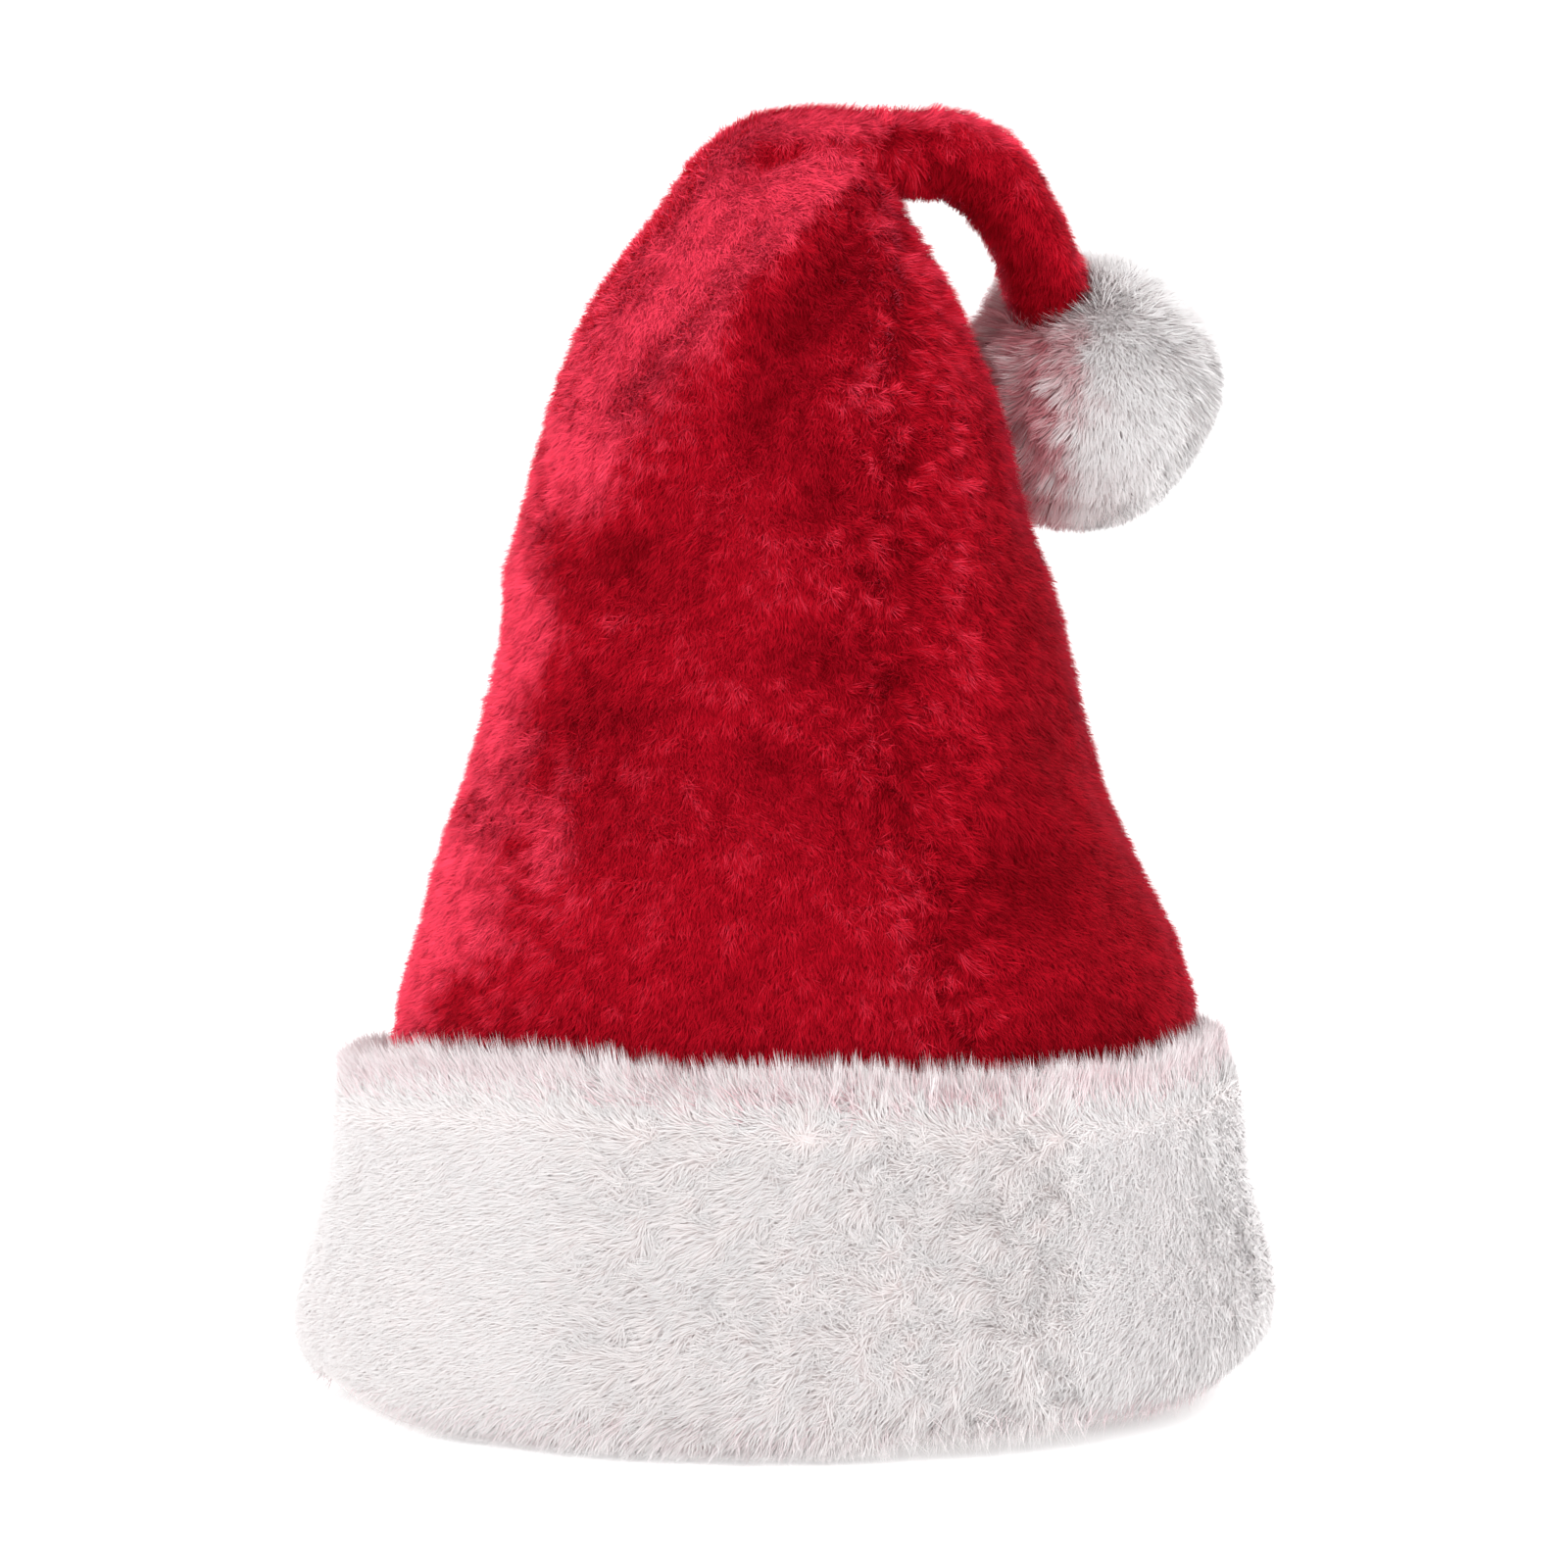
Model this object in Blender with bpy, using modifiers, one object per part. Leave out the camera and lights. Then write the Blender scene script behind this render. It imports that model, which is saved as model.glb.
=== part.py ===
"""A plush Santa hat that stands on its cuff, with its tip folded over to the right.

Three pieces: the crown, a hollow cone of plush whose tip folds into a narrow tail; the cuff, a
padded band of long pile that grips the crown's hem; and the pompom at the tail's end.
Lengths are in metres, +Z is up, +X is the side that the tail falls to and -Y is the front.
"""

import math
import random
from collections import namedtuple

import bmesh
import bpy
from mathutils import Matrix, Vector

# Overall sizes, measured on the plush without its loose pile
HAT_HEIGHT = 0.350
CUFF_WIDTH = 0.264
CUFF_DEPTH = 0.186
CUFF_HEIGHT = 0.093
CUFF_PADDING = 0.0125
CROWN_WALL = 0.003
TAIL_DIAMETER = 0.0215
POMPOM_DIAMETER = 0.0795

# How the pieces meet
SEAT_CLEARANCE = 0.0006
HEM_RISE = 0.009
LIP_THICKNESS = 0.004
LIP_RISE = 0.022
POMPOM_STANDOFF = 0.0075
TAIL_SEAT_DEPTH = 0.009
TAIL_SEAT_FLARE = 0.0022

# Relief of the cloth and the pile
FOLD_DEPTH = 0.007
SEAM_DEPTH = 0.0016
CUFF_LOCK_HEIGHT = 0.0042
POMPOM_LOCK_HEIGHT = 0.006

# How far the relief may cut into a section, as a share of its smaller half, and how it fades in
# above the cuff and out before the tail, as lengths in the measure of along
RELIEF_LIMIT = 0.3
FOOT_FADE = 0.05
TAIL_FADE = 0.15

# The scatter of the locks: heights as shares of the full height, sideways as a share of their
# spacing, hang and the rest as shares of the lock's own height
CUFF_SEED = 3
POMPOM_SEED = 5
CUFF_LOCK_HEIGHTS = (0.65, 1.0)
CUFF_LOCK_SIDEWAYS = 0.3
CUFF_LOCK_HANG = (0.2, 0.7)
CREST_LOCK_OUT = 0.2
FOOT_LOCK_RISE = 0.3
POMPOM_LOCK_HEIGHTS = (0.75, 1.0)

# Fineness of the meshes
CROWN_SIDES = 48
CROWN_RINGS = 24
TAIL_RINGS = 7
CUFF_SIDES = 96
CUFF_ROWS = 12
SEAT_SIDES = 24
ROUTE_STEP = 0.01

# Edges sharper than this stay sharp, in degrees
CLOTH_SHARP = 60
LOCK_SHARP = 70

CROWN_HALF_WIDTH = CUFF_WIDTH / 2 - CUFF_PADDING - SEAT_CLEARANCE
CROWN_HALF_DEPTH = CUFF_DEPTH / 2 - CUFF_PADDING - SEAT_CLEARANCE
CREASE_RISE = HAT_HEIGHT - TAIL_DIAMETER
CROWN_RISE = CREASE_RISE - CUFF_HEIGHT
POMPOM_RADIUS = POMPOM_DIAMETER / 2

# Level sections of the crown. rise is a share of the way from the cuff's top edge to the crease
# under the fold; left and right are shares of the crown's half width at the hem, and depth and
# back of its half depth.
Level = namedtuple("Level", "rise left right depth back")
LEVELS = (
    Level(0.000, -0.892, 0.940, 0.900, 0.00),
    Level(0.070, -0.870, 0.932, 0.880, 0.00),
    Level(0.140, -0.825, 0.884, 0.850, 0.00),
    Level(0.210, -0.794, 0.805, 0.815, 0.01),
    Level(0.280, -0.748, 0.742, 0.780, 0.01),
    Level(0.350, -0.696, 0.698, 0.745, 0.02),
    Level(0.420, -0.668, 0.665, 0.710, 0.02),
    Level(0.490, -0.646, 0.640, 0.670, 0.02),
    Level(0.555, -0.637, 0.597, 0.635, 0.01),
    Level(0.625, -0.607, 0.554, 0.600, 0.01),
    Level(0.695, -0.564, 0.520, 0.560, 0.00),
    Level(0.765, -0.516, 0.472, 0.520, 0.00),
    Level(0.835, -0.463, 0.412, 0.470, 0.00),
    Level(0.905, -0.385, 0.352, 0.410, 0.00),
    Level(0.955, -0.311, 0.280, 0.360, 0.00),
    Level(1.000, -0.240, 0.243, 0.320, 0.00),
)

# Sections that fan about the crease as the crown folds over. along carries on from rise, across
# and rise place the outer end as shares of the crown's half width and of the tail's diameter above
# the crease, slip is how far the inner end has moved along the tail, as a share of its diameter.
Fold = namedtuple("Fold", "along across rise slip depth")
FOLDS = (
    Fold(1.05, -0.195, 0.37, 0.01, 0.300),
    Fold(1.10, -0.143, 0.70, 0.03, 0.275),
    Fold(1.15, -0.058, 0.93, 0.06, 0.245),
    Fold(1.20, 0.060, 0.99, 0.12, 0.205),
    Fold(1.25, 0.165, 0.95, 0.21, 0.170),
    Fold(1.30, 0.240, 0.91, 0.34, 0.145),
)

# The tail, from the fold to the pompom. along is a share of its route, width and depth are shares
# of its diameter.
Tail = namedtuple("Tail", "along width depth")
TAIL = (
    Tail(0.00, 0.98, 1.00),
    Tail(0.30, 0.95, 0.96),
    Tail(0.60, 0.86, 0.92),
    Tail(0.80, 0.90, 0.92),
    Tail(1.00, 0.90, 0.88),
)
TAIL_BEGINS = 1.35
TAIL_START_ACROSS = 0.330
TAIL_LEAVES = 0.42
TAIL_ARRIVES = 0.36
TAIL_END_TAPER = 0.70
TAIL_END_BULGE = 0.10
TAIL_TIP_SHARE = 1.3

# Where the pompom hangs beside the crown, and where on it the tail is sewn
POMPOM_RISE = 0.790
POMPOM_TURN = math.radians(24)
TAIL_SEAT_WAY = Vector((-0.38, -0.66, 0.65)).normalized()

# Dents and swells of the crown. around is the angle from the right side towards the back, along
# the height as in rise and along above, depth a share of FOLD_DEPTH (a swell's is negative), reach
# and spread the dent's half length and half width as shares of the crown's height above the cuff,
# and lean the angle that its length makes with the level.
Dent = namedtuple("Dent", "around along depth reach spread lean")
DENTS = (
    Dent(-144, 0.61, 0.80, 0.10, 0.035, -35),
    Dent(-119, 0.56, 0.35, 0.06, 0.035, 0),
    Dent(-76, 0.63, 0.50, 0.12, 0.030, -38),
    Dent(-80, 0.44, 0.60, 0.11, 0.030, -28),
    Dent(-93, 0.33, 0.60, 0.12, 0.032, -25),
    Dent(-132, 0.41, 0.65, 0.12, 0.035, 5),
    Dent(-56, 0.20, 0.60, 0.09, 0.040, 30),
    Dent(-146, 0.06, 0.55, 0.10, 0.030, 8),
    Dent(-102, 0.85, -0.70, 0.14, 0.024, 58),
    Dent(-118, 0.82, 0.55, 0.12, 0.024, 60),
    Dent(-84, 0.80, 0.75, 0.14, 0.026, 62),
    Dent(-92, 1.04, 0.40, 0.06, 0.020, 65),
    Dent(-128, 0.70, -0.35, 0.08, 0.045, 0),
    Dent(-110, 0.20, -0.45, 0.16, 0.050, 5),
    Dent(-28, 0.34, 0.40, 0.10, 0.035, -20),
    Dent(-20, 0.62, 0.45, 0.10, 0.035, 20),
    Dent(180, 0.48, 0.55, 0.09, 0.030, 10),
    Dent(-172, 0.64, 0.40, 0.08, 0.030, -15),
    Dent(-176, 0.92, 0.30, 0.06, 0.024, 10),
    Dent(120, 0.62, 0.80, 0.12, 0.035, 25),
    Dent(80, 0.40, 0.70, 0.12, 0.040, -18),
    Dent(60, 0.76, 0.60, 0.10, 0.030, 35),
    Dent(140, 0.26, 0.65, 0.12, 0.040, -10),
    Dent(40, 0.18, 0.60, 0.10, 0.040, 15),
)

# The seam between the crown's two panels as the front shows it; its twin is across the hat.
Seam = namedtuple("Seam", "along around")
SEAM = (
    Seam(0.00, -67.5),
    Seam(0.27, -66.5),
    Seam(0.39, -70),
    Seam(0.52, -64),
    Seam(0.74, -56),
    Seam(0.86, -46),
    Seam(0.92, -34),
    Seam(1.00, -8),
    Seam(1.05, 0),
)
SEAM_WIDTH = 5

# The cuff's padding under its locks, from the floor up. rise is a share of the cuff's height, and
# left, right, front and rear are shares of CUFF_PADDING.
Padding = namedtuple("Padding", "rise left right front rear")
PADDING = (
    Padding(0.00, 0.22, 0.10, 0.66, 0.50),
    Padding(0.06, 0.74, 0.42, 0.80, 0.78),
    Padding(0.14, 1.00, 0.80, 0.94, 0.96),
    Padding(0.23, 1.00, 1.00, 1.02, 1.02),
    Padding(0.32, 0.94, 1.08, 1.00, 1.00),
    Padding(0.41, 0.94, 1.02, 0.92, 0.92),
    Padding(0.49, 0.82, 0.84, 0.86, 0.88),
    Padding(0.58, 0.66, 0.58, 0.80, 0.84),
    Padding(0.67, 0.62, 0.56, 0.78, 0.80),
    Padding(0.75, 0.60, 0.68, 0.80, 0.78),
    Padding(0.84, 0.64, 0.66, 0.78, 0.76),
    Padding(0.93, 0.84, 0.62, 0.72, 0.74),
    Padding(1.00, 0.66, 0.50, 0.60, 0.60),
)

# The cuff's inside: where its foot begins, as a share of the lip's thickness, the lip's bends as
# shares of its rise, and the slot's top and the crest as shares of the cuff's height
LIP_FOOT = 0.4
LIP_BENDS = (0.15, 0.88, 0.90)
SLOT_TOP = 0.98
CREST_OUT = 0.45
CREST_TOP = 1.01

# Colours and surface of the plush
RED_PLUSH = (0.42, 0.006, 0.022, 1.0)
WHITE_PLUSH = (0.86, 0.84, 0.84, 1.0)
PLUSH_ROUGHNESS = 0.9
PLUSH_SHEEN = 0.5


def clear_scene():
    """Removes whatever the scene holds."""
    for old in list(bpy.data.objects):
        bpy.data.objects.remove(old)


def catmull(a, b, c, d, t):
    """A point of the smooth curve between b and c, with a and d as their neighbours."""
    return 0.5 * (
        2 * b + (c - a) * t + (2 * a - 5 * b + 4 * c - d) * t * t + (3 * b - a - 3 * c + d) * t**3
    )


def along_rows(rows, share):
    """The row at this share of the way through rows, every column read from a smooth curve."""
    place = share * (len(rows) - 1)
    i = min(int(place), len(rows) - 2)
    near = [rows[min(max(i + k, 0), len(rows) - 1)] for k in (-1, 0, 1, 2)]
    return [catmull(*values, place - i) for values in zip(*near)]


def column_at(rows, key, place):
    """A column's value at this value of the rows' first column, along straight lines."""
    for low, high in zip(rows, rows[1:]):
        if place <= high[0]:
            break
    t = min(max((place - low[0]) / (high[0] - low[0]), 0.0), 1.0)
    low_value, high_value = getattr(low, key), getattr(high, key)
    return low_value + (high_value - low_value) * t


def level_section(level):
    """A level section as its place along the crown, left and right ends, half depth and shift."""
    rise = CUFF_HEIGHT + level.rise * CROWN_RISE
    left = Vector((level.left * CROWN_HALF_WIDTH, 0, rise))
    right = Vector((level.right * CROWN_HALF_WIDTH, 0, rise))
    return level.rise, left, right, level.depth * CROWN_HALF_DEPTH, level.back * CROWN_HALF_DEPTH


def fold_section(fold):
    """A section that has turned about the crease, in the same five values."""
    inner_across = LEVELS[-1].right * CROWN_HALF_WIDTH + fold.slip * TAIL_DIAMETER
    inner = Vector((inner_across, 0, CREASE_RISE))
    outer_rise = CREASE_RISE + fold.rise * TAIL_DIAMETER
    outer = Vector((fold.across * CROWN_HALF_WIDTH, 0, outer_rise))
    return fold.along, outer, inner, fold.depth * CROWN_HALF_DEPTH, 0.0


def tail_section(tail, route):
    """A section of the tail, square to its route, in the same five values."""
    centre = bezier(route, tail.along)
    before, after = max(tail.along - ROUTE_STEP, 0), min(tail.along + ROUTE_STEP, 1)
    ahead = bezier(route, after) - bezier(route, before)
    outward = ahead.cross(Vector((0, 1, 0))).normalized()
    half = outward * (tail.width * TAIL_DIAMETER / 2)
    half_depth = tail.depth * TAIL_DIAMETER / 2
    return TAIL_BEGINS + tail.along, centre + half, centre - half, half_depth, 0.0


def bezier(points, t):
    """A point of the cubic curve with these four control points."""
    s = 1 - t
    a, b, c, d = points
    return a * s**3 + b * (3 * s * s * t) + c * (3 * s * t * t) + d * t**3


def pompom_centre():
    """The pompom's centre, beside the crown and clear of it."""
    left = column_at(LEVELS, "left", POMPOM_RISE) * CROWN_HALF_WIDTH
    right = column_at(LEVELS, "right", POMPOM_RISE) * CROWN_HALF_WIDTH
    half_depth = column_at(LEVELS, "depth", POMPOM_RISE) * CROWN_HALF_DEPTH
    way = Vector((math.cos(POMPOM_TURN), math.sin(POMPOM_TURN), 0))
    surface = 1 / math.hypot(way.x / ((right - left) / 2), way.y / half_depth)
    middle = Vector(((left + right) / 2, 0, CUFF_HEIGHT + POMPOM_RISE * CROWN_RISE))
    return middle + way * (surface + POMPOM_STANDOFF + POMPOM_RADIUS)


def tail_route():
    """The four control points of the tail's centre line, which ends in the pompom's seat."""
    middle_rise = HAT_HEIGHT - TAIL_DIAMETER / 2
    start = Vector((TAIL_START_ACROSS * CROWN_HALF_WIDTH, 0, middle_rise))
    end = pompom_centre() + TAIL_SEAT_WAY * (POMPOM_RADIUS - TAIL_SEAT_DEPTH)
    span = (end - start).length
    leaving = start + Vector((1, 0, 0)) * (TAIL_LEAVES * span)
    arriving = end + TAIL_SEAT_WAY * (TAIL_ARRIVES * span)
    return start, leaving, arriving, end


def crown_sections():
    """Every section of the crown above the cuff, in order up and over to the tail's end."""
    route = tail_route()
    fixed = [level_section(level) for level in LEVELS] + [fold_section(fold) for fold in FOLDS]
    fixed.append(tail_section(TAIL[0], route))
    made = [along_rows(fixed, k / CROWN_RINGS) for k in range(CROWN_RINGS + 1)]
    for k in range(1, TAIL_RINGS + 1):
        place = k / TAIL_RINGS
        row = Tail(place, column_at(TAIL, "width", place), column_at(TAIL, "depth", place))
        made.append(tail_section(row, route))
    return made


def angle_between(a, b):
    """The signed angle from b to a, in degrees, within half a turn."""
    return (a - b + 180) % 360 - 180


def relief(around, along, radius):
    """How far the crown's surface stands in from its plain section at this angle and height."""
    depth = 0.0
    for dent in DENTS:
        sideways = math.radians(angle_between(around, dent.around)) * radius / CROWN_RISE
        upward = along - dent.along
        lean = math.radians(dent.lean)
        length = sideways * math.cos(lean) + upward * math.sin(lean)
        width = upward * math.cos(lean) - sideways * math.sin(lean)
        shape = (length / dent.reach) ** 2 + (width / dent.spread) ** 2
        depth += dent.depth * FOLD_DEPTH * math.exp(-shape)
    for turn in (0, 180):
        off = angle_between(around, column_at(SEAM, "around", along) + turn) / SEAM_WIDTH
        depth += SEAM_DEPTH * math.exp(-off * off)
    fade = min(1.0, along / FOOT_FADE)
    return depth * fade * min(1.0, max(0.0, (TAIL_BEGINS - along) / TAIL_FADE))


def section_ring(section, ahead):
    """The points of one section of the crown, with a column of points kept on each seam."""
    along, left, right, half_depth, back = section
    centre = (left + right) / 2 + Vector((0, back, 0))
    sideways = right - left
    half_width = sideways.length / 2
    sideways.normalize()
    deep = ahead.cross(sideways).normalized()
    swing = column_at(SEAM, "around", along) - SEAM[0].around
    points = []
    for k in range(CROWN_SIDES):
        turn = math.radians(360 * k / CROWN_SIDES + swing)
        inset = relief(math.degrees(turn), along, (half_width + half_depth) / 2)
        inset = min(inset, RELIEF_LIMIT * min(half_width, half_depth))
        points.append(
            centre
            + sideways * (math.cos(turn) * (half_width - inset))
            + deep * (math.sin(turn) * (half_depth - inset))
        )
    return points


def hem_point(turn, rise, out=0.0):
    """A point inside the cuff at this angle and height, this far outside the crown's surface."""
    top = LEVELS[0]
    t = (rise - HEM_RISE) / (CUFF_HEIGHT - HEM_RISE)
    left = -CROWN_HALF_WIDTH * (1 + (-top.left - 1) * t)
    right = CROWN_HALF_WIDTH * (1 + (top.right - 1) * t)
    half_width = (right - left) / 2
    half_depth = CROWN_HALF_DEPTH * (1 + (top.depth - 1) * t)
    cosine, sine = math.cos(turn), math.sin(turn)
    outward = Vector((cosine / half_width, sine / half_depth, 0)).normalized()
    surface = Vector(((left + right) / 2 + half_width * cosine, half_depth * sine, rise))
    return surface + outward * out


def crown_rings():
    """All rings of the crown's outer surface from the hem to the tail's end, and its last point."""
    sections = crown_sections()
    hem_turns = [math.radians(360 * k / CROWN_SIDES) for k in range(CROWN_SIDES)]
    rings = [[hem_point(turn, HEM_RISE) for turn in hem_turns]]
    middles = [(s[1] + s[2]) / 2 + Vector((0, s[4], 0)) for s in sections]
    for k, section in enumerate(sections):
        low, high = middles[max(k - 1, 0)], middles[min(k + 1, len(middles) - 1)]
        rings.append(section_ring(section, high - low))
    end, bulge = middles[-1], -TAIL_SEAT_WAY * (TAIL_END_BULGE * TAIL_DIAMETER)
    rings.append([end + (point - end) * TAIL_END_TAPER + bulge for point in rings[-1]])
    return rings, end + bulge * TAIL_TIP_SHARE


def skin_rings(bm, rings):
    """Faces between neighbouring rings of points, each with the same count."""
    made = [[bm.verts.new(point) for point in ring] for ring in rings]
    for low, high in zip(made, made[1:]):
        for k in range(len(low)):
            after = (k + 1) % len(low)
            bm.faces.new((low[k], low[after], high[after], high[k]))
    return made


def finish_object(bm, name, collection, material, sharp_angle):
    """An object of this mesh, shaded smooth except across edges sharper than the angle."""
    bmesh.ops.recalc_face_normals(bm, faces=bm.faces)
    mesh = bpy.data.meshes.new(name)
    bm.to_mesh(mesh)
    bm.free()
    mesh.materials.append(material)
    mesh.shade_smooth()
    mesh.set_sharp_from_angle(angle=math.radians(sharp_angle))
    made = bpy.data.objects.new(name, mesh)
    collection.objects.link(made)
    return made


def plush(name, colour):
    """A soft, dull material of this colour."""
    material = bpy.data.materials.new(name)
    material.use_nodes = True
    shader = material.node_tree.nodes["Principled BSDF"]
    shader.inputs["Base Color"].default_value = colour
    shader.inputs["Roughness"].default_value = PLUSH_ROUGHNESS
    shader.inputs["Metallic"].default_value = 0.0
    shader.inputs["Sheen Weight"].default_value = PLUSH_SHEEN
    return material


def build_crown(collection):
    """The red cone and its tail, an open skin given the plush's thickness inwards."""
    bm = bmesh.new()
    rings, tip = crown_rings()
    last = skin_rings(bm, rings)[-1]
    pole = bm.verts.new(tip)
    for k in range(CROWN_SIDES):
        bm.faces.new((last[k], last[(k + 1) % CROWN_SIDES], pole))
    crown = finish_object(bm, "crown", collection, plush("red_plush", RED_PLUSH), CLOTH_SHARP)
    wall = crown.modifiers.new("wall", "SOLIDIFY")
    wall.thickness = CROWN_WALL
    wall.offset = -1
    return crown


def padding(turn, rise):
    """The cuff's thickness outside the crown at this angle and height."""
    share = rise / CUFF_HEIGHT
    cosine, sine = math.cos(turn), math.sin(turn)
    side = column_at(PADDING, "right" if cosine > 0 else "left", share)
    face = column_at(PADDING, "rear" if sine > 0 else "front", share)
    return CUFF_PADDING * (side * cosine**2 + face * sine**2)


def cuff_inside(turn):
    """The cuff's outline from its foot round to its crest, as (distance out, height) pairs.

    It runs under the hem on a flat foot, up the lip inside the crown and back up the slot that the
    crown's hem stands in.
    """
    inside = -(CROWN_WALL + SEAT_CLEARANCE)
    crest = padding(turn, CUFF_HEIGHT)
    low_bend, high_bend, slot_bend = LIP_BENDS
    return [
        (inside - LIP_FOOT * LIP_THICKNESS, 0.0),
        (inside - LIP_THICKNESS, low_bend * LIP_RISE),
        (inside - LIP_THICKNESS, high_bend * LIP_RISE),
        (inside - LIP_THICKNESS / 2, LIP_RISE),
        (inside, slot_bend * LIP_RISE),
        (inside, HEM_RISE - SEAT_CLEARANCE),
        (SEAT_CLEARANCE, HEM_RISE - SEAT_CLEARANCE),
        (SEAT_CLEARANCE, SLOT_TOP * CUFF_HEIGHT),
        (CREST_OUT * crest, CREST_TOP * CUFF_HEIGHT),
    ]


def is_lock(row, k):
    """Whether a point of the cuff's outside is a lock's tip; two in three are its valleys."""
    return (k - row // 2 - row) % 3 == 0


def cuff_outside(row, k, chance):
    """A point of the cuff's outside, raised into the tip of a lock where one stands."""
    turn = 2 * math.pi * (k + 0.5 * (row % 2)) / CUFF_SIDES
    rise = CUFF_HEIGHT * (1 - row / CUFF_ROWS)
    out = padding(turn, rise)
    if not is_lock(row, k) or row == CUFF_ROWS:
        return hem_point(turn, rise, out)
    height = CUFF_LOCK_HEIGHT * chance.uniform(*CUFF_LOCK_HEIGHTS)
    sideways = chance.uniform(-CUFF_LOCK_SIDEWAYS, CUFF_LOCK_SIDEWAYS) * 2 * math.pi / CUFF_SIDES
    if row == 0:
        return hem_point(turn + sideways, rise + height, out + CREST_LOCK_OUT * height)
    hang = height * chance.uniform(*CUFF_LOCK_HANG)
    lowest = FOOT_LOCK_RISE * height
    return hem_point(turn + sideways, max(rise - hang, lowest), out + height)


def build_cuff(collection):
    """The padded white band, its pile in short locks all over the outside."""
    bm = bmesh.new()
    chance = random.Random(CUFF_SEED)
    sides = range(CUFF_SIDES)
    made = [
        [bm.verts.new(cuff_outside(row, k, chance)) for k in sides] for row in range(CUFF_ROWS + 1)
    ]
    for row, (high, low) in enumerate(zip(made, made[1:])):
        for k in sides:
            after = (k + 1) % CUFF_SIDES
            if row % 2:
                bm.faces.new((high[k], low[k], low[after]))
                bm.faces.new((high[k], low[after], high[after]))
            else:
                bm.faces.new((high[k], low[k], high[after]))
                bm.faces.new((low[k], low[after], high[after]))
    profiles = [cuff_inside(2 * math.pi * k / CUFF_SIDES) for k in sides]
    ring = made[-1]
    for place in range(len(profiles[0]) + 1):
        if place < len(profiles[0]):
            spots = [(2 * math.pi * k / CUFF_SIDES, *profiles[k][place]) for k in sides]
            following = [bm.verts.new(hem_point(turn, up, out)) for turn, out, up in spots]
        else:
            following = made[0]
        for k in sides:
            after = (k + 1) % CUFF_SIDES
            bm.faces.new((ring[k], ring[after], following[after], following[k]))
        ring = following
    return finish_object(bm, "cuff", collection, plush("white_plush", WHITE_PLUSH), LOCK_SHARP)


def build_seat_cutter(collection):
    """The flared round hole in the pompom that the tail's end is sewn into."""
    end_bulge = TAIL_TIP_SHARE * TAIL_END_BULGE * TAIL_DIAMETER
    floor = TAIL_SEAT_DEPTH + end_bulge + SEAT_CLEARANCE
    length = floor + POMPOM_LOCK_HEIGHT
    radius = TAIL[-1].width * TAIL_DIAMETER / 2
    bm = bmesh.new()
    bmesh.ops.create_cone(
        bm,
        cap_ends=True,
        segments=SEAT_SIDES,
        radius1=radius + SEAT_CLEARANCE,
        radius2=radius + SEAT_CLEARANCE + TAIL_SEAT_FLARE,
        depth=length,
    )
    turn = Vector((0, 0, 1)).rotation_difference(TAIL_SEAT_WAY).to_matrix().to_4x4()
    middle = TAIL_SEAT_WAY * (POMPOM_RADIUS - floor + length / 2)
    bmesh.ops.transform(bm, matrix=Matrix.Translation(middle) @ turn, verts=bm.verts)
    mesh = bpy.data.meshes.new("seat_cutter")
    bm.to_mesh(mesh)
    bm.free()
    cutter = bpy.data.objects.new("seat_cutter", mesh)
    cutter.location = pompom_centre()
    cutter.hide_render = True
    cutter.display_type = "WIRE"
    collection.objects.link(cutter)
    return cutter


def build_pompom(collection, cutters):
    """The white ball of pile, in locks, with a seat where the tail is sewn in."""
    bm = bmesh.new()
    bmesh.ops.create_icosphere(bm, subdivisions=3, radius=POMPOM_RADIUS - POMPOM_LOCK_HEIGHT)
    chance = random.Random(POMPOM_SEED)
    for face in list(bm.faces):
        height = POMPOM_LOCK_HEIGHT * chance.uniform(*POMPOM_LOCK_HEIGHTS)
        bmesh.ops.poke(bm, faces=[face], offset=height, center_mode="MEAN")
    white = plush("white_pompom", WHITE_PLUSH)
    pompom = finish_object(bm, "pompom", collection, white, LOCK_SHARP)
    pompom.location = pompom_centre()
    seat = pompom.modifiers.new("seat", "BOOLEAN")
    seat.operation = "DIFFERENCE"
    seat.solver = "EXACT"
    seat.object = build_seat_cutter(cutters)
    return pompom


def main():
    """Builds the three pieces in a collection of their own."""
    clear_scene()
    collection = bpy.data.collections.new("santa_hat")
    cutters = bpy.data.collections.new("cutters")
    bpy.context.scene.collection.children.link(collection)
    bpy.context.scene.collection.children.link(cutters)
    build_crown(collection)
    build_cuff(collection)
    build_pompom(collection, cutters)


main()
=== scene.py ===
"""The looks of a plush Santa hat: cloth under the pile, red and white pile, studio and camera.

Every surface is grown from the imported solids. The crown, the cuff and the pompom each get a smooth
cloth body, and over it a pile of fine blades that Geometry Nodes scatter, comb and gather in wisps.
Lengths are in metres; +X is the side that the tail falls to and -Y is the front.
"""

import logging
import math
from dataclasses import asdict, dataclass, field, replace
from enum import Enum
from typing import NamedTuple

import bmesh
import bpy
import numpy as np
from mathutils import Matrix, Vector, noise
from mathutils.bvhtree import BVHTree

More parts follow.
